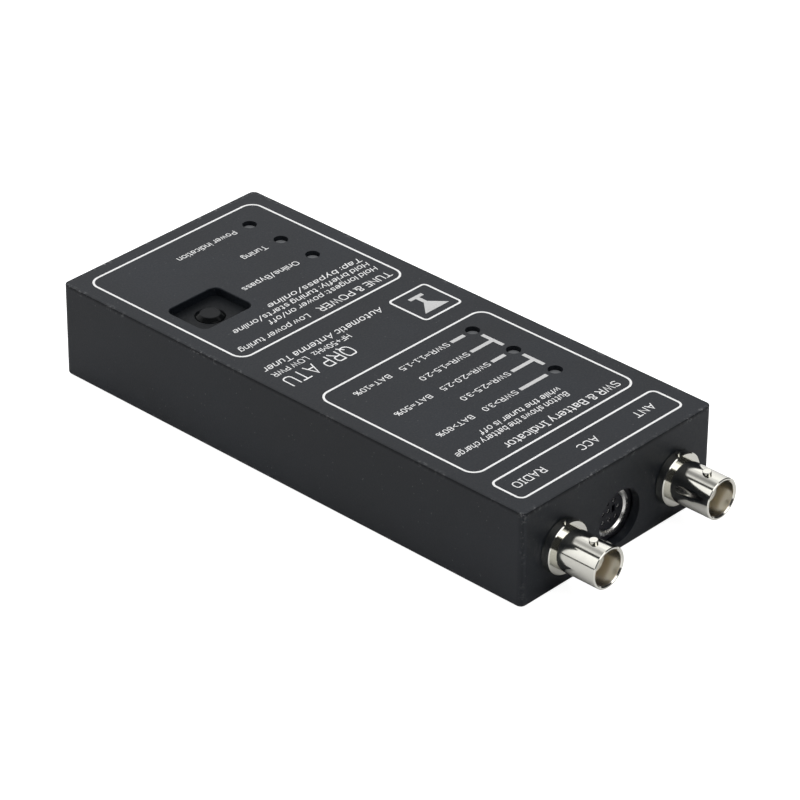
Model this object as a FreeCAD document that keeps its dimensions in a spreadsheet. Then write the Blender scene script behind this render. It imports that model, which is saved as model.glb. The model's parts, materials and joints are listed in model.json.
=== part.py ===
"""Pocket antenna tuner: a one-piece black case with two bayonet coaxial jacks, an accessory
socket, six indicator lights and one push-button, and the electronics that it holds.

Frame: the origin is the middle of the underside, +X runs from the antenna jack to the
radio jack, +Y points out of the connector end, +Z is up through the printed top face.
"""
import FreeCAD, Part
import math
import os
import Sketcher

doc = FreeCAD.newDocument("AntennaTuner")
sheet = doc.addObject("Spreadsheet::Sheet", "dims")
subparts = []


# ---------------------------------------------------------------- sizes and expressions

class Size:
    """A number in mm or degrees together with the sheet expression that gives it."""

    def __init__(self, value, text):
        self.value = value
        self.text = text

    def __add__(self, other):
        other = as_size(other)
        return Size(self.value + other.value, f"({self.text} + {other.text})")

    def __sub__(self, other):
        other = as_size(other)
        return Size(self.value - other.value, f"({self.text} - {other.text})")

    def __mul__(self, other):
        other = as_size(other)
        return Size(self.value * other.value, f"({self.text} * {other.text})")

    def __truediv__(self, other):
        other = as_size(other)
        return Size(self.value / other.value, f"({self.text} / {other.text})")

    def __neg__(self):
        return Size(-self.value, f"(0 - {self.text})")

    __radd__ = __add__
    __rmul__ = __mul__


def as_size(number):
    """A plain number as a Size, and a Size unchanged."""
    if isinstance(number, Size):
        return number
    text = f"{number:.6g}"
    return Size(float(number), text if number >= 0 else f"(0 - {-number:.6g})")


def dim(alias, value):
    """Write one driving dimension to the sheet and give it back as a Size."""
    cell = f"A{dim.row}"
    dim.row += 1
    sheet.set(cell, f"{value:g}")
    sheet.setAlias(cell, alias)
    return Size(float(value), f"dims.{alias}")


dim.row = 1

# Case
case_w = dim("case_width", 60)
case_l = dim("case_length", 137)
case_h = dim("case_height", 23)
wall = dim("wall", 2)
side_round = dim("upright_edge_radius", 1.5)
top_round = dim("top_edge_radius", 0.12)
foot_round = dim("bottom_edge_radius", 0.7)
cover_t = dim("cover_thickness", 1.5)
rim_t = dim("cover_rim_width", 1.2)
slip = dim("slip_clearance", 0.05)
cover_gap = dim("cover_gap_both_sides", 0.2)
cover_round = dim("cover_corner_radius", 0.4)
post_inset = dim("screw_post_overlap", 0.25)

# Button and its window
button_x = dim("button_x", 15)
button_y = dim("button_y", -37.2)
window_w = dim("window_width", 15.4)
window_l = dim("window_length", 12.2)
window_round = dim("window_corner_radius", 1.9)
window_edge = dim("window_edge_radius", 0.25)
bezel_t = dim("bezel_thickness", 0.6)
bezel_lap = dim("bezel_lap", 2)
bezel_hole = dim("bezel_hole_radius", 3.5)
cap_base_r = dim("cap_base_radius", 3.36)
cap_top_r = dim("cap_top_radius", 2.2)
cap_sink = dim("cap_below_surface", 1.2)
cap_base_t = dim("cap_base_thickness", 0.65)
cap_round = dim("cap_edge_radius", 0.25)
cap_roof = dim("cap_roof_thickness", 0.6)
cap_travel = dim("button_travel", 0.3)

# Indicator lights
light_x = dim("light_x", -17.83)
light_r = dim("light_hole_radius", 1.68)
light_sink = dim("light_below_surface", 1)
swr_first_y = dim("swr_light_first_y", 34.9)
swr_pitch = dim("swr_light_pitch", 12)
status_first_y = dim("status_light_first_y", -37.7)
status_pitch = dim("status_light_pitch", 10)
guide_w = dim("light_guide_width", 5)
guide_t = dim("light_guide_thickness", 1.7)
guide_over = dim("light_guide_past_end_lights", 1.8)
guide_round = dim("light_guide_post_edge", 0.3)
pit_r = dim("light_guide_pit_radius", 1.3)
pit_depth = dim("light_guide_pit_depth", 0.6)
led_w = dim("light_base_width", 2)
led_l = dim("light_base_length", 1.25)
led_t = dim("light_base_thickness", 0.4)
lens_w = dim("light_lens_width", 1.3)
lens_l = dim("light_lens_length", 1.15)
lens_t = dim("light_lens_thickness", 0.45)

# Bayonet jacks
jack_x = dim("jack_x", 18.13)
jack_z = dim("jack_height", 10.5)
jack_roll = dim("jack_roll_degrees", 5)
flange_r = dim("flange_radius", 6.18)
flange_t = dim("flange_thickness", 2.16)
barrel_r = dim("barrel_radius", 4.82)
mouth_y = dim("mouth_distance", 13.15)
mouth_r = dim("mouth_radius", 4.07)
mouth_depth = dim("mouth_depth", 8.4)
stud_r = dim("stud_radius", 0.98)
stud_tip = dim("stud_tip_radius", 5.5)
stud_back = dim("stud_from_mouth", 4)
thread_r = dim("jack_thread_radius", 4.7)
thread_l = dim("jack_thread_length", 8)
insulator_r = dim("insulator_radius", 2.4)
insulator_sink = dim("insulator_from_mouth", 3.4)
contact_r = dim("contact_radius", 1.05)
washer_t = dim("lock_washer_thickness", 0.6)
tag_t = dim("solder_tag_thickness", 0.4)
nut_t = dim("nut_thickness", 2.4)
nut_flats = dim("nut_across_flats", 12.7)
pip_r = dim("flange_pip_radius", 0.5)
pip_tall = dim("flange_pip_height", 0.45)
pip_back = dim("flange_pip_from_wall", 1.15)
jack_hole_gap = dim("jack_hole_clearance", 0.1)
edge_break = dim("turned_edge_break", 0.15)
flange_bevel = dim("flange_bevel", 0.2)
thread_bevel = dim("thread_bevel", 0.3)
mouth_bevel = dim("mouth_bevel", 0.3)
stud_bevel = dim("stud_edge_radius", 0.12)
jack_slip = dim("jack_inner_clearance", 0.03)
insulator_tail = dim("insulator_past_thread", 1)
contact_tail = dim("contact_past_thread", 4)
contact_sink = dim("contact_from_insulator", 0.2)
contact_bore_r = dim("contact_bore_radius", 0.7)
contact_bore_l = dim("contact_bore_depth", 5)
contact_slot_w = dim("contact_slot_width", 0.25)
contact_slot_l = dim("contact_slot_depth", 4)
cup_depth = dim("contact_cup_depth", 2.5)
washer_over = dim("lock_washer_past_flange", 0.2)
notch_x = dim("lock_washer_notch_radius", 5.2)
notch_w = dim("lock_washer_notch_length", 1.1)
notch_l = dim("lock_washer_notch_width", 0.8)
tag_over = dim("solder_tag_past_flange", 0.1)
arm_y = dim("solder_tag_arm_middle", 6.3)
arm_w = dim("solder_tag_arm_width", 3)
arm_l = dim("solder_tag_arm_length", 4.4)
eye_y = dim("solder_tag_eye_distance", 7.3)
eye_r = dim("solder_tag_eye_radius", 0.6)

# Accessory socket
acc_x = dim("socket_x", -0.6)
acc_z = dim("socket_height", 8.45)
acc_hole_r = dim("socket_hole_radius", 6.43)
ring_outer = dim("socket_ring_outer_radius", 5.5)
ring_inner = dim("socket_ring_inner_radius", 4.35)
ring_bevel = dim("socket_ring_bevel", 0.4)
ring_sink = dim("socket_ring_from_surface", 2.4)
insert_r = dim("socket_insert_radius", 4.2)
pin_sink = dim("socket_pin_from_insert", 0.2)
insert_sink = dim("socket_insert_from_surface", 2.7)
block_w = dim("socket_block_width", 14)
block_back = dim("socket_block_back_y", 55.2)
block_gap = dim("socket_block_gap", 0.45)
block_lift = dim("socket_block_lift", 0.65)
cavity_depth = dim("socket_cavity_depth", 8)
pin_hole_r = dim("socket_pin_hole_radius", 0.5)
key_x = dim("socket_key_x", 1.1)
key_z = dim("socket_key_height", 0.4)
key_w = dim("socket_key_width", 1)
key_tall = dim("socket_key_tall", 1.7)
key_depth = dim("socket_key_depth", 4)
ring_back = dim("socket_ring_behind_block_front", 7.8)
ring_soft = dim("socket_ring_outer_edge_radius", 0.1)
tube_r = dim("socket_tube_radius", 0.42)
tube_bore_r = dim("socket_tube_bore_radius", 0.24)
tube_bore_l = dim("socket_tube_bore_depth", 5)
tail_r = dim("socket_tail_radius", 0.3)
tail_out = dim("socket_tail_above_board", 0.9)

# Circuit board
board_w = dim("board_width", 45)
board_t = dim("board_thickness", 1.6)
board_top = dim("board_top_height", 16.45)
board_front = dim("board_front_y", 56.5)
board_back = dim("board_back_y", -65.2)
tongue_w = dim("board_tongue_width", 15.4)
tongue_y = dim("board_tongue_y", 63.5)
board_round = dim("board_corner_radius", 1)
board_hole_gap = dim("board_hole_clearance", 0.1)

# Fasteners
screw_r = dim("screw_radius", 1.25)
screw_head_r = dim("screw_head_radius", 2.3)
boss_r = dim("board_boss_radius", 2.5)
post_w = dim("screw_post_width", 5)
post_y = dim("screw_post_y", 59.8)
screw_slip = dim("screw_hole_clearance", 0.03)
post_hole_l = dim("post_hole_depth", 8)
boss_hole_l = dim("boss_hole_depth", 4.9)
cover_hole_gap = dim("cover_hole_clearance", 0.15)
head_slip = dim("countersink_clearance", 0.05)
cover_screw_l = dim("cover_screw_length", 8.5)
cover_hex_r = dim("cover_screw_hexagon_radius", 0.72)
cover_hex_l = dim("cover_screw_hexagon_depth", 0.8)
board_screw_l = dim("board_screw_length", 5.8)
pan_t = dim("board_screw_head_thickness", 1.6)
pan_round = dim("board_screw_head_edge_radius", 0.5)
board_hex_r = dim("board_screw_hexagon_radius", 0.85)
board_hex_l = dim("board_screw_hexagon_depth", 0.9)

# Parts on the board
relay_w = dim("relay_width", 15)
relay_l = dim("relay_length", 7.4)
relay_tall = dim("relay_height", 7.9)
relay_x = dim("relay_x", 14.6)
relay_first_y = dim("relay_first_y", 36)
relay_pitch = dim("relay_pitch", 9)
core_outer = dim("core_outer_radius", 6.35)
core_inner = dim("core_inner_radius", 3.85)
core_tall = dim("core_height", 4.8)
bridge_outer = dim("bridge_core_outer_radius", 4.5)
bridge_inner = dim("bridge_core_inner_radius", 2.4)
bridge_tall = dim("bridge_core_height", 3.2)
wire_t = dim("winding_wire_thickness", 0.5)
jack_wire_r = dim("jack_wire_radius", 0.5)
wire_rise_y = dim("jack_wire_rise_y", 52)
wire_bend_r = dim("jack_wire_bend_radius", 1.5)
wire_out = dim("jack_wire_above_board", 0.6)
wire_start = dim("jack_wire_start_past_thread", 2)
wire_gap = dim("jack_wire_clearance", 0.1)
relay_gap = dim("relay_stand_off", 0.3)
relay_round = dim("relay_upright_edge_radius", 0.6)
relay_soft = dim("relay_low_edge_radius", 0.25)
terminal_x = dim("relay_first_terminal_x", -5.6)
terminal_y = dim("relay_terminal_row_y", 3)
terminal_w = dim("relay_terminal_width", 0.6)
terminal_l = dim("relay_terminal_length", 0.8)
core_round = dim("core_edge_radius", 0.5)
bridge_round = dim("bridge_core_edge_radius", 0.4)
bridge_y = dim("bridge_y", 45.2)
winding_gap = dim("winding_gap", 0.12)
winding_lift = dim("winding_below_board", 0.25)
chip_w = dim("chip_width", 7)
chip_t = dim("chip_thickness", 1.4)
chip_round = dim("chip_corner_radius", 0.3)
chip_low = dim("chip_low_face_below_board", 1.5)
chip_y = dim("chip_y", -31)
lead_t = dim("lead_thickness", 0.3)
lead_low = dim("lead_low_face_below_board", 0.4)
lead_long = dim("chip_lead_length", 1.2)
lead_thin = dim("chip_lead_width", 0.35)
lead_out = dim("chip_lead_row_from_middle", 4)
lead_first = dim("chip_first_lead", -2.8)
driver_w = dim("driver_length", 10)
driver_l = dim("driver_width", 4)
driver_t = dim("driver_thickness", 1.5)
driver_low = dim("driver_low_face_below_board", 1.7)
driver_lead_x = dim("driver_first_lead", -4.445)
driver_lead_y = dim("driver_lead_row_from_middle", 2.4)
driver_lead_w = dim("driver_lead_width", 0.4)
capacitor_w = dim("capacitor_length", 3.2)
capacitor_l = dim("capacitor_width", 2.5)
capacitor_t = dim("capacitor_height", 1.8)
cell_w = dim("cell_width", 34)
cell_l = dim("cell_length", 54)
cell_t = dim("cell_thickness", 4.4)
cell_lift = dim("cell_above_cover", 0.1)
cell_y = dim("cell_y", 10)
cell_round = dim("cell_upright_edge_radius", 2)
cell_soft = dim("cell_top_edge_radius", 0.9)
tab_y = dim("cell_tab_past_cell_end", 8.6)
tab_narrow = dim("cell_tab_narrower", 2)
tab_l = dim("cell_tab_length", 3)
tab_t = dim("cell_tab_thickness", 2.2)
charge_w = dim("charge_socket_width", 8.94)
charge_tall = dim("charge_socket_height", 3.26)
charge_gap = dim("charge_hole_clearance_both_sides", 0.3)
charge_hole_round = dim("charge_hole_corner_radius", 1.5)
charge_l = dim("charge_socket_length", 7.3)
charge_sink = dim("charge_socket_from_surface", 0.4)
charge_round = dim("charge_socket_corner_radius", 1.2)
charge_wall = dim("charge_socket_walls_both_sides", 0.6)
charge_mouth_l = dim("charge_socket_mouth_depth", 5.9)
charge_tongue_from = dim("charge_tongue_root_from_surface", 6.4)
charge_tongue_narrow = dim("charge_tongue_narrower", 2.2)
charge_tongue_t = dim("charge_tongue_thickness", 0.7)
charge_tongue_l = dim("charge_tongue_length", 5.3)
switch_tall = dim("switch_height", 3.5)
plunger_r = dim("plunger_radius", 1.75)
switch_w = dim("switch_width", 6)
switch_cover_t = dim("switch_cover_thickness", 0.3)
well_r = dim("switch_well_radius", 2.4)
well_l = dim("switch_well_depth", 1.5)
leg_x = dim("switch_leg_x", 2.8)
leg_y = dim("switch_leg_y", 2.25)
leg_t = dim("switch_leg_thickness", 0.3)
leg_w = dim("switch_leg_width", 0.7)
leg_out = dim("switch_leg_past_board", 0.8)
leg_hole_r = dim("switch_leg_hole_radius", 0.5)
plunger_gap = dim("plunger_clearance", 0.08)
collar_r = dim("plunger_collar_radius", 2.1)
collar_gap = dim("plunger_collar_below_cover", 0.03)
collar_low = dim("plunger_collar_above_well_floor", 0.78)
nose_r = dim("plunger_nose_radius", 0.9)
nose_low = dim("plunger_nose_above_well_floor", 0.58)
cap_play = dim("cap_above_switch_when_pressed", 0.2)
cap_seat_gap = dim("cap_seat_clearance", 0.02)
dome_rim_r = dim("dome_rim_radius", 2.2)
dome_rise = dim("dome_rise", 0.5)
dome_t = dim("dome_thickness", 0.1)

doc.recompute()

inner_top = case_h - wall
wall_y = case_l / 2
wall_in_y = wall_y - wall
board_under = board_top - board_t
light_top = case_h - light_sink
charge_z = board_under - charge_tall / 2

swr_lights = [swr_first_y - swr_pitch * i for i in range(3)]
status_lights = [status_first_y - status_pitch * i for i in range(3)]

post_x = case_w / 2 - wall - post_w / 2 + post_inset
cover_screw_places = [(post_x * side, post_y * end) for side in (-1, 1) for end in (-1, 0, 1)]
board_screw_places = [
    (as_size(x), as_size(y))
    for x, y in ((-11, 53.5), (11, 53.5), (-19.5, -17.5), (19.5, -17.5), (-19.5, -62.4), (19.5, -62.4))
]


# ---------------------------------------------------------------- modelling helpers

def bind(thing, prop, size):
    """Tie one property to the sheet."""
    thing.setExpression(prop, as_size(size).text)


def new_body(label):
    """A sub-part made of PartDesign features."""
    made = doc.addObject("PartDesign::Body", label)
    made.Label = label
    subparts.append(made)
    return made


def origin_item(body, role):
    """One of a body's own origin planes or axes."""
    return next(item for item in body.Origin.OriginFeatures if item.Role == role)


def new_sketch(body, plane, offset=0):
    """An empty sketch on one of the body's origin planes, moved along its normal."""
    made = body.newObject("Sketcher::SketchObject", f"{body.Name}_sketch")
    made.AttachmentSupport = [(origin_item(body, plane), "")]
    made.MapMode = "FlatFace"
    bind(made, "AttachmentOffset.Base.z", offset)
    return made


def hold(sketch, kind, size, *where):
    """Add one driving constraint and tie it to the sheet."""
    size = as_size(size)
    index = sketch.addConstraint(Sketcher.Constraint(kind, *where, size.value))
    sketch.setExpression(f"Constraints[{index}]", size.text)


def hold_point(sketch, geo, end, place):
    """Fix one point of a sketch by its two coordinates."""
    hold(sketch, "DistanceX", place[0], -1, 1, geo, end)
    hold(sketch, "DistanceY", place[1], -1, 1, geo, end)


def draw_circle(sketch, place, radius):
    centre = FreeCAD.Vector(as_size(place[0]).value, as_size(place[1]).value, 0)
    ring = Part.Circle(centre, FreeCAD.Vector(0, 0, 1), as_size(radius).value)
    geo = sketch.addGeometry(ring, False)
    hold_point(sketch, geo, 3, place)
    hold(sketch, "Radius", radius, geo)


def draw_outline(sketch, points):
    """A closed run of straight lines through the given points."""
    spots = [FreeCAD.Vector(as_size(x).value, as_size(y).value, 0) for x, y in points]
    geos = []
    for i, spot in enumerate(spots):
        geos.append(sketch.addGeometry(Part.LineSegment(spot, spots[(i + 1) % len(spots)]), False))
    for i, geo in enumerate(geos):
        sketch.addConstraint(Sketcher.Constraint("Coincident", geo, 2, geos[(i + 1) % len(geos)], 1))
    for geo, place in zip(geos, points):
        hold_point(sketch, geo, 1, place)


def draw_box(sketch, place, width, length):
    """A rectangle about a centre."""
    x, y = as_size(place[0]), as_size(place[1])
    half_w, half_l = as_size(width) / 2, as_size(length) / 2
    left, right, low, high = x - half_w, x + half_w, y - half_l, y + half_l
    draw_outline(sketch, [(left, low), (right, low), (right, high), (left, high)])


def feature(body, kind, sketch, length, reverse=False, both_ways=False):
    """A Pad or a Pocket of a sketch."""
    before = body.Shape.Volume if body.Tip else 0.0
    made = body.newObject(f"PartDesign::{kind}", f"{body.Name}_{kind.lower()}")
    made.Profile = sketch
    bind(made, "Length", length)
    made.Reversed = reverse
    if both_ways:
        made.SideType = "Symmetric"
    body.Tip = made
    body.recompute(True)
    changed = body.Shape.Volume - before
    wrong = changed <= 0 if kind == "Pad" else changed >= 0
    if wrong:
        raise ValueError(f"{made.Name} changed the volume by {changed:.3f}")
    return made


def pad(body, sketch, length, **ways):
    return feature(body, "Pad", sketch, length, **ways)


def pocket(body, sketch, length, **ways):
    return feature(body, "Pocket", sketch, length, **ways)


def turn(body, points):
    """A solid of revolution about the body's Z axis, from (radius, height) points."""
    sketch = new_sketch(body, "XZ_Plane")
    draw_outline(sketch, points)
    made = body.newObject("PartDesign::Revolution", f"{body.Name}_turned")
    made.Profile = sketch
    made.ReferenceAxis = (origin_item(body, "Z_Axis"), [""])
    made.Angle = 360
    body.Tip = made
    body.recompute(True)
    return made


def dress(body, kind, chosen, size):
    """A Fillet or a Chamfer on the edges for which chosen(edge) is true."""
    base = body.Tip
    names = [f"Edge{i + 1}" for i, edge in enumerate(base.Shape.Edges) if chosen(edge)]
    if not names:
        raise ValueError(f"{body.Name}: no edge to {kind.lower()}")
    made = body.newObject(f"PartDesign::{kind}", f"{body.Name}_{kind.lower()}")
    made.Base = (base, names)
    bind(made, "Radius" if kind == "Fillet" else "Size", size)
    body.Tip = made
    body.recompute(True)
    return made


def repeat_round(body, original, count, angle):
    """Repeat a feature about the body's Z axis."""
    made = body.newObject("PartDesign::PolarPattern", f"{body.Name}_round")
    made.Originals = [original]
    made.Axis = (origin_item(body, "Z_Axis"), [""])
    made.Angle = angle
    made.Occurrences = count
    body.Tip = made
    body.recompute(True)
    return made


def repeat_row(body, original, role, pitch, count):
    """Repeat a feature in a row along one of the body's axes."""
    made = body.newObject("PartDesign::LinearPattern", f"{body.Name}_row")
    made.Originals = [original]
    made.Direction = (origin_item(body, role), [""])
    made.Length = pitch * (count - 1)
    made.Occurrences = count
    body.Tip = made
    body.recompute(True)
    return made


def near(value, size, slack=0.02):
    return abs(value - as_size(size).value) < slack


def upright(edge):
    """True for a straight edge along Z."""
    box = edge.BoundBox
    return box.ZLength > 0.05 and box.XLength < 0.001 and box.YLength < 0.001


def level_at(edge, height):
    """True for an edge that lies wholly at one height."""
    return near(edge.BoundBox.ZMin, height) and near(edge.BoundBox.ZMax, height)


def round_at(edge, radius, height):
    """True for a circular edge about Z of one radius at one height."""
    return level_at(edge, height) and hasattr(edge.Curve, "Radius") and near(edge.Curve.Radius, radius)


def place(body, x=0, y=0, z=0):
    """Move a sub-part to its place, tied to the sheet."""
    bind(body, "Placement.Base.x", x)
    bind(body, "Placement.Base.y", y)
    bind(body, "Placement.Base.z", z)


def lay_along_y(body, x, y, z, roll=0):
    """Turn a sub-part made along Z so that it points along +Y, and move it to its place."""
    lay = FreeCAD.Rotation(FreeCAD.Vector(1, 0, 0), -90)
    spin = FreeCAD.Rotation(FreeCAD.Vector(0, 0, 1), as_size(roll).value)
    body.Placement = FreeCAD.Placement(FreeCAD.Vector(0, 0, 0), lay.multiply(spin))
    place(body, x, y, z)


def corner_edges(width, length, slack=0.02):
    """The upright edges at the corners of a centred rectangle."""
    half_w, half_l = as_size(width).value / 2, as_size(length).value / 2

    def chosen(edge):
        box = edge.BoundBox
        at_x = abs(abs(box.XMin) - half_w) < slack
        return upright(edge) and at_x and abs(abs(box.YMin) - half_l) < slack

    return chosen


# ---------------------------------------------------------------- case

def make_housing():
    """The case: top and four walls in one piece, open below, with posts and bosses inside."""
    body = new_body("housing_shell")
    sketch = new_sketch(body, "XY_Plane")
    draw_box(sketch, (0, 0), case_w, case_l)
    pad(body, sketch, case_h)
    dress(body, "Fillet", corner_edges(case_w, case_l), side_round)
    dress(body, "Fillet", lambda edge: level_at(edge, case_h), top_round)
    dress(body, "Fillet", lambda edge: level_at(edge, 0), foot_round)

    cavity = new_sketch(body, "XY_Plane")
    draw_box(cavity, (0, 0), case_w - wall * 2, case_l - wall * 2)
    pocket(body, cavity, inner_top, reverse=True)
    ledge = new_sketch(body, "XY_Plane")
    draw_box(ledge, (0, 0), case_w - rim_t * 2, case_l - rim_t * 2)
    pocket(body, ledge, cover_t, reverse=True)

    posts = new_sketch(body, "XY_Plane", cover_t)
    for x, y in cover_screw_places:
        draw_box(posts, (x, y), post_w, post_w)
    pad(body, posts, inner_top - cover_t)
    bosses = new_sketch(body, "XY_Plane", board_top)
    for spot in board_screw_places:
        draw_circle(bosses, spot, boss_r)
    pad(body, bosses, inner_top - board_top)

    post_holes = new_sketch(body, "XY_Plane", cover_t)
    for spot in cover_screw_places:
        draw_circle(post_holes, spot, screw_r + screw_slip)
    pocket(body, post_holes, post_hole_l, reverse=True)
    boss_holes = new_sketch(body, "XY_Plane", board_top)
    for spot in board_screw_places:
        draw_circle(boss_holes, spot, screw_r + screw_slip)
    pocket(body, boss_holes, boss_hole_l, reverse=True)

    window = new_sketch(body, "XY_Plane", case_h)
    draw_box(window, (button_x, button_y), window_w, window_l)
    pocket(body, window, wall)
    half_w, half_l = window_w.value / 2, window_l.value / 2

    def window_corner(edge):
        box = edge.BoundBox
        at_x = near(abs(box.XMin - button_x.value), half_w)
        return upright(edge) and at_x and near(abs(box.YMin - button_y.value), half_l)

    dress(body, "Fillet", window_corner, window_round)

    def window_rim(edge):
        box = edge.BoundBox
        inside_x = abs(box.Center.x - button_x.value) < half_w + 0.1
        return level_at(edge, case_h) and inside_x and abs(box.Center.y - button_y.value) < half_l + 0.1

    dress(body, "Fillet", window_rim, window_edge)

    lights = new_sketch(body, "XY_Plane", case_h)
    for y in swr_lights + status_lights:
        draw_circle(lights, (light_x, y), light_r)
    pocket(body, lights, wall)

    end_holes = new_sketch(body, "XZ_Plane", -wall_y)
    for x in (-jack_x, jack_x):
        draw_circle(end_holes, (x, jack_z), thread_r + jack_hole_gap)
    draw_circle(end_holes, (acc_x, acc_z), acc_hole_r)
    pocket(body, end_holes, wall, reverse=True)
    charge_hole = new_sketch(body, "XZ_Plane", wall_y)
    draw_box(charge_hole, (0, charge_z), charge_w + charge_gap, charge_tall + charge_gap)
    pocket(body, charge_hole, wall)

    def charge_corner(edge):
        box = edge.BoundBox
        along_y = box.YLength > wall.value - 0.1 and box.XLength < 0.001 and box.ZLength < 0.001
        at_x = near(abs(box.XMin), (charge_w + charge_gap) / 2)
        at_z = near(abs(box.Center.z - charge_z.value), (charge_tall + charge_gap) / 2)
        return along_y and at_x and at_z and box.YMin < 0

    dress(body, "Fillet", charge_corner, charge_hole_round)


def make_cover():
    """The bottom plate, sunk flush into the case, with countersunk holes."""
    body = new_body("bottom_cover")
    width = case_w - rim_t * 2 - cover_gap
    length = case_l - rim_t * 2 - cover_gap
    sketch = new_sketch(body, "XY_Plane")
    draw_box(sketch, (0, 0), width, length)
    pad(body, sketch, cover_t)
    dress(body, "Fillet", corner_edges(width, length), cover_round)
    holes = new_sketch(body, "XY_Plane")
    for spot in cover_screw_places:
        draw_circle(holes, spot, screw_r + cover_hole_gap)
    pocket(body, holes, cover_t, reverse=True)
    sink = screw_head_r + head_slip - screw_r - cover_hole_gap
    dress(body, "Chamfer", lambda edge: round_at(edge, screw_r + cover_hole_gap, 0), sink)


def make_cover_screws():
    """Six identical countersunk screws, with a hexagon socket each."""
    body = new_body("cover_screws")
    heads = new_sketch(body, "XY_Plane")
    for spot in cover_screw_places:
        draw_circle(heads, spot, screw_head_r)
    tapered = pad(body, heads, screw_head_r - screw_r)
    tapered.TaperAngle = -45
    doc.recompute()
    shanks = new_sketch(body, "XY_Plane")
    for spot in cover_screw_places:
        draw_circle(shanks, spot, screw_r)
    pad(body, shanks, cover_screw_l)
    add_hex_sockets(body, cover_screw_places, cover_hex_r, cover_hex_l, 0)


def add_hex_sockets(body, places, radius, depth, height):
    """Cut a hexagon socket into each screw head."""
    sockets = new_sketch(body, "XY_Plane", height)
    for x, y in places:
        corners = [math.radians(60 * k) for k in range(6)]
        draw_outline(sockets, [(x + radius * math.cos(a), y + radius * math.sin(a)) for a in corners])
    pocket(body, sockets, depth, reverse=True)


# ---------------------------------------------------------------- bayonet jacks

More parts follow.
